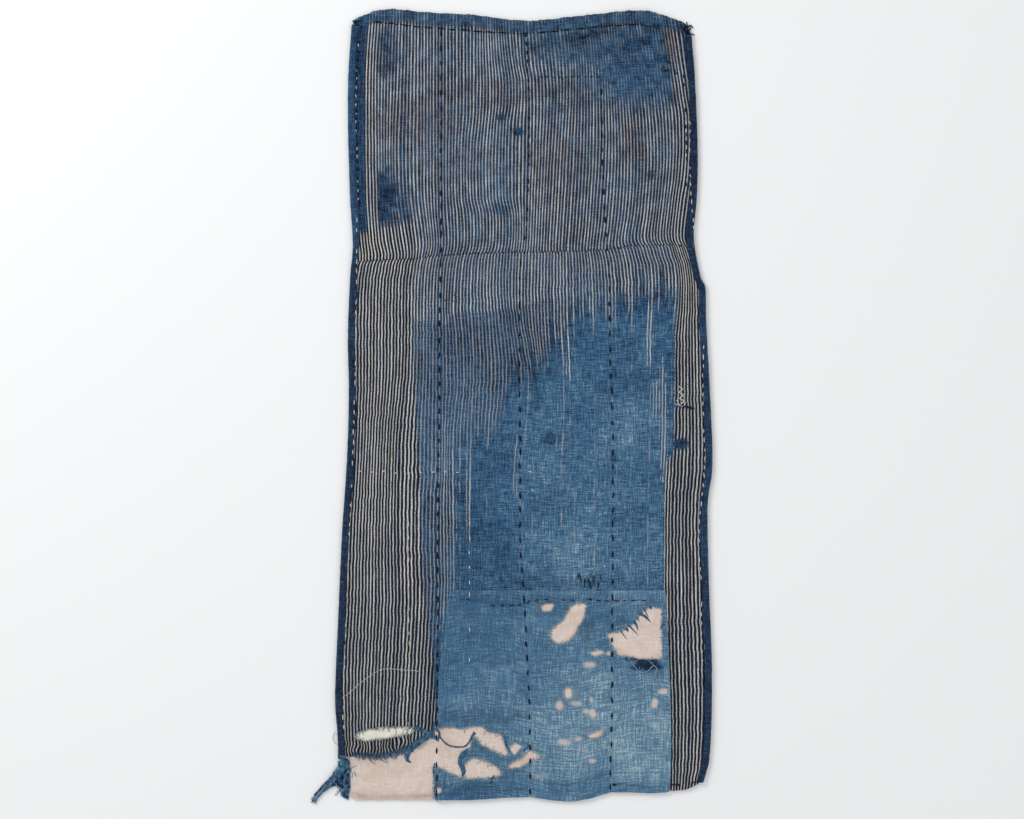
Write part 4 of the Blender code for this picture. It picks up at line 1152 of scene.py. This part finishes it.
# The long edges of the whole piece: (y, x)
LEFT_EDGE = (
    (-405, -177), (-361, -177.5), (-336, -178), (-303, -180.5), (-277, -180), (-208, -177),
    (-130, -173.5), (-55, -168.5), (12, -166.5), (71, -167.5), (134, -165), (163, -162.5),
    (217, -165.5), (318, -167.5), (384, -164), (405, -161),
)
RIGHT_EDGE = (
    (-405, 190), (-387, 194.5), (-359, 201.5), (-271, 204), (-185, 201), (-121, 199.5), (-96, 200),
    (-61, 204.5), (12, 202), (90, 198), (122, 197), (131, 192.5), (172, 185.5), (211, 188.5),
    (258, 189.5), (337, 186.5), (375, 183.5), (405, 182),
)
BINDING_STEP = 2.4
# How faded each strip is up its length: (y, fade)
LEFT_FADE = ((-361, 0.16), (100, 0.2), (150, 0.24), (190, 0.32), (300, 0.35), (384, 0.3))
RIGHT_FADE = ((-385, 0.2), (-200, 0.22), (60, 0.26), (120, 0.2), (160, 0.16), (384, 0.14))


def binding_object(name, table, span, inward, fade, seed):
    """A folded strip down one long edge, as a closed tube of its section."""
    count = round((span[1] - span[0]) / BINDING_STEP)
    ys = np.linspace(span[0], span[1], count)
    wide = 1 + 0.10 * rumple(ys, 0 * ys, 60, seed) + 0.05 * rumple(ys, 0 * ys, 11, seed + 1)
    tall = 0.35 * rumple(ys, 0 * ys, 45, seed + 2) + 0.16 * rumple(ys, 0 * ys, 8.0, seed + 3)
    shift = 0.18 * rumple(ys, 0 * ys, 9.0, seed + 4) + 0.10 * rumple(ys, 0 * ys, 4.0, seed + 5)
    section = np.array(BINDING_SECTION)
    most = len(section)
    up = np.clip(section[:, 1] / 4.0, 0, 1)
    places = np.empty((count, most, 3))
    for k in range(most):
        into, high = section[k]
        places[:, k, 0] = along(table, ys) + inward * (into * wide + shift * up[k])
        places[:, k, 1] = ys
        places[:, k, 2] = high + tall * up[k] ** 2 * (0.4 + 0.6 * min(into / 7.0, 1.0))
    flat = places.reshape(-1, 3)
    faces = []
    for j in range(count - 1):
        for k in range(most):
            after = (k + 1) % most
            faces.append((j * most + k, j * most + after, (j + 1) * most + after,
                          (j + 1) * most + k))
    faces.append(tuple(range(most)))
    faces.append(tuple((count - 1) * most + k for k in range(most)))
    mesh = new_shell(name, flat, faces)
    reach = run_along(section)
    thread = np.column_stack([np.tile(reach, count), np.repeat(ys, most), np.zeros(len(flat))])
    worn = np.repeat(along(fade, ys), most) + 0.05 * rumple(flat[:, 0], flat[:, 1], 22, seed + 6)
    worn += 0.12 * np.exp(-((np.tile(section[:, 0], count) - 0.6) ** 2) / 0.5)
    for key, value in (("thread", thread), ("fade", worn), ("dark", 0 * worn)):
        set_fact(mesh, key, value)
    mesh.shade_smooth()
    print(name, len(mesh.polygons), "faces")
    return new_object(name, mesh)


LEFT_SPAN, RIGHT_SPAN = (-360.0, 389.0), (-384.0, 379.0)
left_binding = binding_object("left_edge_binding", LEFT_EDGE, LEFT_SPAN, 1, LEFT_FADE, 81)
right_binding = binding_object("right_edge_binding", RIGHT_EDGE, RIGHT_SPAN, -1, RIGHT_FADE, 91)
for made, node, span in (
    (left_binding, "binding_left", LEFT_SPAN), (right_binding, "binding_right", RIGHT_SPAN),
):
    finish_sheet(made, faded_cotton, node)

# %% [markdown]
# ## The torn corner
# The left foot has torn away and its end is rumpled into a dark rag with a tail. It is a thin sheet
# too, creased in steep little folds, and no stripes show in it.

# %% Torn rag
RAG_CELL = 0.95
rag_ring = ragged(resample(rims_of("torn_rag")[0], 0.9), 0.5, 101)
points, triangles = triangulate([rag_ring], RAG_CELL)
x, y = points.T
near = from_rim(x, y, [rag_ring])
folds = np.sin((x + 0.6 * y) * TAU / 7.5 + 1.6 * rumple(x, y, 16, 103))
rag_top = 1.3 + ease(near / 3.5) * (1.5 + 1.0 * folds) + 0.25 * rumple(x, y, 4.0, 104)
rag_facts = {
    "thread": np.column_stack([x * 0.8 + 0.6 * y + 3 * folds, y, 0 * x]),
    "fade": 0.27 + 0.13 * folds + 0.1 * rumple(x, y, 9, 105) + 0.3 * np.exp(-near / 0.9),
    # Painted shade in the valleys of the folds
    "dark": 0.4 * ease(-folds) * ease(near / 2),
}
rag = sheet_object("torn_corner_rag", points, triangles, rag_top, SCRAP_THICK, rag_facts)
finish_sheet(rag, faded_cotton, "torn_rag")

# %% [markdown]
# ## Threads that lie on the cloth
# Running stitches, darns, frays and loose ends are all thin yarn. Each is a short path on the surface
# with a small round section, and all of one kind are joined in one mesh. A ray dropped on the finished
# cloth says how high each point lies.

# %% Thread meshes
def cloth_tree(pieces):
    """One search tree of several pieces."""
    places, faces, first = [], [], 0
    for piece in pieces:
        places += [v.co.copy() for v in piece.data.vertices]
        faces += [[first + i for i in p.vertices] for p in piece.data.polygons]
        first = len(places)
    return BVHTree.FromPolygons(places, faces)


surface = cloth_tree([lining, upper, lower, patch, slit_patch, left_binding, right_binding, rag])


def height_at(x, y):
    """The top of the cloth at a point, in millimetres, or the surface that it lies on."""
    return height_on(surface, x, y) or 0.0


def tubes(name, paths, sides, material, fade=None):
    """Joined yarns. Each path is (x, y, z rows, radius along it, how flat), in millimetres."""
    places, faces, count = [], [], 0
    turn = np.arange(sides) * TAU / sides
    for line, radius, flat in paths:
        line = np.array(line, float)
        radius = np.broadcast_to(radius, len(line))
        line[:, 2] = np.maximum(line[:, 2], radius * flat + 0.02)
        ahead = np.gradient(line, axis=0)
        ahead /= np.maximum(np.linalg.norm(ahead, axis=1), TINY)[:, None]
        side = np.cross(ahead, (0, 0, 1.0))
        side /= np.maximum(np.linalg.norm(side, axis=1), TINY)[:, None]
        up = np.cross(side, ahead) * flat
        ring = side[:, None] * np.cos(turn)[:, None] + up[:, None] * np.sin(turn)[:, None]
        first = count
        count += len(line) * sides
        places.append((line[:, None] + ring * radius[:, None, None]).reshape(-1, 3))
        for j in range(len(line) - 1):
            for k in range(sides):
                a, b = first + j * sides + k, first + j * sides + (k + 1) % sides
                faces.append((b, a, a + sides, b + sides))
        faces.append(tuple(first + k for k in range(sides)))
        faces.append(tuple(first + (len(line) - 1) * sides + k for k in reversed(range(sides))))
    places = np.vstack(places)
    mesh = new_shell(name, places, faces)
    if fade is not None:
        # Strips of cloth carry their weave and wear, as the sheets do
        x, y = places[:, 0], places[:, 1]
        set_fact(mesh, "thread", np.column_stack([x, y, 0 * x]))
        set_fact(mesh, "fade", fade + 0.14 * rumple(x, y, 7, 301))
    mesh.shade_smooth()
    mesh.materials.append(material)
    made = new_object(name, mesh)
    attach(made, "root")
    print(name, len(paths), "threads")
    return made


STITCH_SHAPE = np.array((0.45, 0.85, 1.0, 1.0, 0.85, 0.45))


def stitch(x1, y1, x2, y2, radius):
    """One running stitch: up out of the cloth, along it and down again."""
    steps = len(STITCH_SHAPE)
    xs, ys = np.linspace(x1, x2, steps), np.linspace(y1, y2, steps)
    top = np.array([height_at(px, py) for px, py in zip(xs, ys)])
    top = np.maximum(top, top.max() - 0.5)
    arch = np.sin(np.linspace(0, math.pi, steps))
    zs = top + radius * (0.9 * arch - 0.25)
    return np.column_stack([xs, ys, zs]), radius * STITCH_SHAPE, 1.0


def running(points, pitch, length, radius, seed, keep=1.0):
    """Running stitches along a line of points, uneven as hand sewing is."""
    draw = np.random.default_rng(seed)
    line = resample(points, 0.5, False)
    made, at = [], 0.0
    while at + 1.2 * length < len(line) * 0.5:
        long = length * draw.uniform(0.8, 1.2)
        start = line[int(2 * at)] + draw.normal(0, 0.3, 2)
        end = line[min(int(2 * (at + long)), len(line) - 1)] + draw.normal(0, 0.3, 2)
        if draw.uniform() < keep:
            made.append(stitch(*start, *end, radius * draw.uniform(0.85, 1.15)))
        at += pitch * draw.uniform(0.9, 1.1)
    return made


def up_row(table, low, high, shift=0.0):
    """Points up a row that is given as (y, x)."""
    ys = np.linspace(low, high, round((high - low) / 4) + 2)
    return np.column_stack([along(table, ys) + shift, ys])


def laid(points, radius, flat=1.0, step=1.3):
    """A yarn or a strip that lies on the cloth, on a smooth line. radius may be one per point."""
    points = np.array(points, float)
    far = run_along(points)
    at = np.linspace(0, far[-1], max(4, round(far[-1] / step)))
    line = np.column_stack([along(np.column_stack([far, points[:, k]]), at) for k in (0, 1)])
    wide = np.interp(at, far, radius) if np.ndim(radius) else np.full(len(at), float(radius))
    wide = wide * (1 + 0.3 * (1 - flat) * rumple(line[:, 0], line[:, 1], 2.6, 302))
    zs = np.array([height_at(px, py) for px, py in line])
    zs = np.maximum(zs, np.linspace(zs[0], zs[-1], len(zs)) - 0.7)
    return np.column_stack([line, zs + wide * flat * 0.8]), wide, flat


def tangle(x, y, size, count, radius, seed):
    """A knot of short threads round a point."""
    draw = np.random.default_rng(seed)
    made = []
    for _ in range(count):
        start = (x, y) + draw.normal(0, 0.35 * size, 2)
        end = start + draw.normal(0, 0.5 * size, 2)
        bend = (start + end) / 2 + draw.normal(0, 0.2 * size, 2)
        made.append(laid([start, bend, end], radius * draw.uniform(0.7, 1.2), 1.0, 0.8))
    return made


def tangles(table):
    """Knots of short threads, one for each row of x, y, size, count, radius and seed."""
    return [line for row in table for line in tangle(*row)]


# %% Quilting rows
QUILTING = (
    # row, from y, to y, pitch, stitch length, radius, seed, share kept
    (ROW_LEFT, -398, 388, STITCH_PITCH, 6.6, 0.9, 201, 1.0),
    (ROW_MIDDLE, -396, 158, STITCH_PITCH, 6.6, 0.9, 202, 1.0),
    (ROW_MIDDLE, 160, 386, 9.5, 4.6, 0.75, 203, 0.85),
    (ROW_RIGHT, -392, 330, STITCH_PITCH, 6.6, 0.9, 204, 1.0),
)
quilting = []
for row, low_end, high_end, *sewing in QUILTING:
    quilting += running(up_row(row, low_end, high_end), *sewing)
tubes("quilting_stitches", quilting, 6, dark_yarn)

# %% Seam stitches, hem stitches and darns in dark thread
draw = np.random.default_rng(211)
SEAM_PITCH = 4.2
seam = []
for sx in np.arange(-156, 180, SEAM_PITCH):
    sx += draw.normal(0, 0.5)
    sy = float(along(SEAM, sx)) + draw.normal(0, 0.4)
    seam.append(stitch(sx, sy + 1.3, sx + draw.uniform(0.6, 1.4), sy - 1.3, 0.45))
TOP_HEM = ((-140, 391.5), (-95, 387), (-60, 384), (-20, 381), (13, 379.5), (40, 382), (90, 387),
           (130, 389.5), (152, 385))
seam += running(TOP_HEM, 13.0, 7.5, 0.8, 212, 0.8)
seam += running(TOP_HEM, 5.0, 2.6, 0.55, 213, 0.7)
seam += running(PATCH_HEM, 9.0, 5.0, 0.5, 214, 0.75)
seam += running(((28, 336), (54, 335), (90, 336)), 6.5, 3.4, 0.5, 215, 0.9)
seam.append(laid(((68, 376), (73, 376), (80, 379)), (0.5, 0.95, 0.5)))
seam.append(laid(((79, 383), (84, 381), (88, 378)), 0.5))
seam += running(up_row(LEFT_EDGE, 205, 376, 8.8), 8.6, 4.6, 0.6, 216)
seam += running(up_row(RIGHT_EDGE, 172, 372, -11.5), 8.6, 4.6, 0.6, 217, 0.85)
# The darn above the patch: a comb of upright stitches over a worn place, each x, low y, high y
COMB = (
    (67, -176, -171), (70.5, -181, -172), (74, -185, -175), (77, -182, -176), (80, -187, -177),
    (83.5, -184, -173), (87.5, -186, -179), (91, -179, -173),
)
for k, (dx, low_end, high_end) in enumerate(COMB):
    seam.append(stitch(dx, low_end, dx + (1.2, -0.9, 0.3)[k % 3], high_end, (0.7, 0.5)[k % 2]))
seam += tangles((
    (177.5, 384, 6.0, 14, 0.55, 220), (-157, 390, 6.0, 9, 0.5, 221), (104, -386, 3.0, 4, 0.45, 222),
    (160, 345, 9.0, 6, 0.4, 223),
))
seam.append(laid(((162, -385), (166, -387), (169, -385), (171, -389)), 0.6))
seam.append(laid(((180, -384), (183, -386), (186, -383)), 0.5))
seam.append(laid(((173, 0.5), (179, -1), (186, -3)), 0.6))
seam += tangle(-20, -382, 4.0, 3, 0.4, 224)
tubes("dark_sewing", seam, 5, dark_yarn)

# %% Pale stitches and basting
LEFT_WHITE = ((-330, -172), (-300, -172), (-208, -169), (-130, -166), (-55, -162.5), (12, -160.5),
              (134, -158.5), (205, -158), (318, -159), (376, -156))
RIGHT_WHITE = ((-265, 194), (-185, 193), (-121, 191), (-61, 196.5), (12, 194.5), (66, 195),
               (90, 192), (240, 181.5), (300, 181.5))
pale = running(up_row(LEFT_WHITE, -330, 200), 10.5, 4.6, 0.5, 231, 0.8)
pale += running(up_row(LEFT_EDGE, 210, 376, 8.4), 8.6, 3.2, 0.45, 232, 0.8)
pale += running(up_row(RIGHT_WHITE, -262, 70), 9.5, 4.6, 0.5, 233, 0.85)
pale += running(up_row(RIGHT_WHITE, 180, 300), 9.0, 4.0, 0.45, 234, 0.9)
for bx in np.arange(-157, -50, 12.5):
    sy = -67.5 + draw.normal(0, 0.6)
    pale.append(stitch(bx, sy, bx + draw.uniform(2.4, 3.4), sy + draw.normal(0, 0.4), 0.6))
pale += [stitch(17, -66.5, 19.5, -67.5, 0.6), stitch(20, -85, 22.5, -87, 0.6)]
for by in (-118, -133, -148, -163, -178, -190, -226, -257):
    pale.append(stitch(-43.5, by, -43.0 + draw.normal(0, 0.3), by - draw.uniform(3, 4.4), 0.55))
pale += running(up_row(((-270, -105), (-110, -105.5)), -268, -110), 12.0, 5.0, 0.4, 235, 0.85)
pale.append(laid(((-170, -296), (-155, -283), (-142, -273.5), (-132, -268.5), (-112, -269),
                  (-95, -270.5)), 0.22))
pale.append(laid(((-181, -333), (-183, -337), (-182, -342), (-180, -345)), 0.35))
# Zigzag of bright darning above the slit in the right leg
ZIGZAG = ((170, 20), (174, 17), (170.5, 14), (175, 11), (171, 8), (175.5, 5), (172, 2))
pale.append(laid(ZIGZAG, 0.5))
pale.append(laid(((168, 6), (171, 1), (175, 0), (177, 4)), 0.5))
tubes("pale_stitches", pale, 5, pale_yarn)


# %% [markdown]
# ## Frayed edges and torn strips
# Where cloth wears through, its weft lets go first, so holes are edged with short pale ends. At the
# torn left foot whole strips hang by a few threads across the lining.


# %% Frays
LEAN = 0.5  # how much frayed threads bend along the edge, as a share of their length
LONG_SHARE, LONG_BY = 0.12, 2.2  # a few are this much longer than the rest


def frays(edges, spacing, short, long, radius, seed, closed=True):
    """Short threads that stand out from torn edges, to the right of the way that they run."""
    draw = np.random.default_rng(seed)
    made = []
    for edge in edges:
        edge = resample(edge, spacing, closed)
        ahead = ahead_of(edge, closed)
        for place, along_rim, away in zip(edge, ahead, right_of(ahead)):
            reach = draw.uniform(short, long) * (1 if draw.uniform() > LONG_SHARE else LONG_BY)
            bend = draw.normal(0, LEAN)
            t = np.linspace(-0.35, 1, 5)[:, None]
            line = place + away * reach * t + along_rim * bend * reach * t * t
            zs = [height_at(px, py) + radius * 0.7 for px, py in line]
            zs = np.maximum(zs, np.linspace(zs[0], zs[-1], 5)) + 0.3 * np.sin(math.pi * t.ravel())
            width = radius * np.array((1, 1, 0.9, 0.75, 0.4))
            made.append((np.column_stack([line, zs]), width, 1.0))
    return made


bay_arcs = arcs_of(patch_rings[0], bay > 0.5)
left_arcs = arcs_of(patch_rings[0], (patch_rings[0][:, 1] < -366) & (patch_rings[0][:, 0] < -74))
WIDE_HOLE = 200  # square millimetres
wide_holes = [ring for ring in patch_rings[1:] if area_of(ring) > WIDE_HOLE]
light_frays = frays(wide_holes, 2.6, 0.5, 1.9, 0.3, 241)
light_frays += frays(bay_arcs, 1.9, 0.6, 3.0, 0.32, 242, False)
light_frays += frays(left_arcs, 1.6, 0.8, 3.4, 0.32, 243, False)
light_frays += frays([foot_arc], 2.2, 1.0, 3.6, 0.3, 244, False)
UNDER_CORNER = ((118, -256), (126, -267), (131, -272), (139, -270), (144, -265), (148, -268),
                (146, -275), (149.5, -282))
light_frays.append(laid(UNDER_CORNER, 0.55))
light_frays += tangles((
    (131, -270, 3.0, 5, 0.35, 245), (147, -272, 4.5, 8, 0.35, 246), (142, -262, 3.0, 4, 0.35, 247),
))
light_frays.append(laid(((165, 3), (169, 1), (173, 0)), (0.8, 1.0, 0.5)))
light_frays += tangles(((80, -172, 5.0, 6, 0.35, 248), (24, -190, 6.0, 5, 0.35, 249)))
light_frays += [
    laid(((-132, -331), (-128, -326), (-125, -332)), 0.5),
    laid(((-106, -322), (-105, -328), (-108, -334)), 0.55),
    laid(((-110, -330), (-104, -329), (-99, -327)), 0.4),
    laid(((-120, -327), (-118, -333), (-121, -338)), 0.35),
]
tubes("light_frays", light_frays, 4, fray_yarn)
deep_frays = frays([foot_arc], 1.2, 1.0, 4.0, 0.34, 251, False)
deep_frays += frays([lower_rings[1]], 2.4, 0.8, 2.6, 0.3, 252)
deep_frays += tangles((
    (7, 280, 4.0, 12, 0.5, 253), (-10.6, 295, 3.0, 6, 0.45, 254), (39, -32, 8.0, 12, 0.42, 218),
    (103.5, -55, 3.6, 6, 0.42, 219), (80, -176, 9.0, 9, 0.4, 257), (172, -39, 6.0, 8, 0.45, 255),
    (-62, 110, 5.0, 4, 0.35, 256),
))
tubes("deep_frays", deep_frays, 4, blue_yarn)

# %% Torn strips
STRIPS = (
    # half widths, then the points
    ((0.9, 0.8, 0.7, 0.8, 0.9, 1.2, 1.6), ((-75, -335), (-69, -343), (-62, -347), (-49, -347.5),
                                           (-44, -343), (-40, -336), (-38, -333))),
    ((1.4, 2.6, 3.0, 2.2, 0.6), ((-45, -350), (-51, -357), (-52, -363), (-49.5, -373), (-51, -379))),
    ((2.0, 3.0, 3.6, 3.0, 1.8, 0.5), ((-83, -336), (-94, -342), (-102, -348), (-107, -355),
                                      (-107, -361), (-103, -364))),
    ((2.0, 2.2, 2.0, 1.4), ((-99, -328), (-91, -331), (-84, -335), (-75, -341))),
    ((1.0, 1.2, 0.8), ((-78, -328), (-74, -334), (-76, -342))),
    ((0.6, 1.2, 1.4, 0.6), ((-79, -364), (-80, -374), (-77, -384), (-80, -394))),
    ((2.4, 3.0, 2.0, 0.5), ((-167, -361), (-176, -370), (-186, -383), (-197, -396))),
    ((0.8, 1.2, 1.0, 0.3), ((-170, -364), (-181, -376), (-192, -392), (-202, -404))),
    ((0.8, 1.3, 0.9), ((-166, -368), (-171, -382), (-169, -398))),
    ((3.0, 3.2, 1.2), ((-173, -356), (-173, -370), (-180, -382))),
    ((0.8, 1.1, 0.5), ((12, -352), (16, -346), (11, -341))),
    ((0.7, 1.0, 0.4), ((-8, -336), (-6, -346), (-2, -352))),
)
SPIKES = (
    # fringe over the corner hole: from its edge, in
    ((117, -229), (121, -235)), ((121, -226), (126, -232)), ((125, -222), (129, -230)),
    ((129, -218), (134, -224)), ((132, -213), (138, -219)), ((136, -209), (140, -217)),
    ((141, -206), (143, -212)), ((112, -231), (115, -236)), ((153, -224), (150, -229)),
    ((153, -213), (150, -216)),
)
strips = [laid(points, widths, 0.35) for widths, points in STRIPS]
ROOT = 0.35  # how far back each spike starts inside the cloth, of its length
for k, (a, b) in enumerate(SPIKES):
    a = ((1 + ROOT) * a[0] - ROOT * b[0], (1 + ROOT) * a[1] - ROOT * b[1])
    long_x, long_y = (0.5, 1.5, 0.9)[k % 3], (0.5, 1.3, 0.9)[k % 3]
    tip = (a[0] + long_x * (b[0] - a[0]), a[1] + long_y * (b[1] - a[1]))
    bend = ((a[0] + tip[0]) / 2 + (0.8, -0.6)[k % 2], (a[1] + tip[1]) / 2 + 0.6)
    strips.append(laid((a, bend, tip), ((1.8, 1.2, 0.2), (1.0, 0.6, 0.2))[k % 2], 0.4))
tubes("torn_strips", strips, 6, faded_cotton, 0.5)
tail = [laid(((-180 + k, -378), (-189 + 0.4 * k, -388 - k), (-198 - k, -396 - 0.8 * k),
              (-203 - 1.2 * k, -404 + 1.3 * k)), 0.4) for k in range(-2, 3)]
tail += tangles(((-172, -392, 7.0, 14, 0.4, 261), (-166, -372, 6.0, 8, 0.4, 262)))
tubes("rag_threads", tail, 4, fray_yarn)
slit_frays = frays([lower_rings[1]], 3.4, 0.8, 2.2, 0.3, 265)
tubes("slit_frays", slit_frays, 4, pale_yarn)

# %% [markdown]
# ## Floor, light and camera
# A plain pale floor, a broad soft light from the upper left and an even fill, so that only the creases
# throw any shade. The camera looks straight down.

# %% Stage
FLOOR_REACH, FLOOR_Z = 6.0, -0.0006
floor_corners = [(i * FLOOR_REACH, j * FLOOR_REACH, FLOOR_Z)
                 for i, j in ((-1, -1), (1, -1), (1, 1), (-1, 1))]
floor_mesh = bpy.data.meshes.new("floor")
floor_mesh.from_pydata(floor_corners, [], [(0, 1, 2, 3)])
floor = new_object("floor", floor_mesh)
floor_paper, _, floor_shader = new_material("matt white paper", 0.95)
floor_shader.inputs["Base Color"].default_value = linear("#f4f5f6")
floor_mesh.materials.append(floor_paper)

world = bpy.data.worlds.new("studio")
scene.world = world
world.use_nodes = True
sky = world.node_tree.nodes["Background"]
sky.inputs["Color"].default_value = (1.0, 1.0, 1.0, 1.0)
sky.inputs["Strength"].default_value = 0.66


def soft_light(name, place, size, power):
    """A square soft box that faces the middle of the cloth."""
    data = bpy.data.lights.new(name, "AREA")
    data.size = size
    data.energy = power
    made = new_object(name, data)
    made.location = place
    made.rotation_euler = (-Vector(place)).to_track_quat("-Z", "Y").to_euler()


soft_light("key", place=(-1.5, 1.3, 1.5), size=1.1, power=27)
soft_light("fill", place=(1.6, -0.8, 2.2), size=1.6, power=7)

camera_data = bpy.data.cameras.new("camera")
camera_data.lens = 100
camera_data.sensor_width = 36
camera_data.clip_end = 20
camera = new_object("camera", camera_data)
camera.location = (0.0, -0.0036, 2.904)
scene.camera = camera
scene.view_settings.view_transform = "Standard"
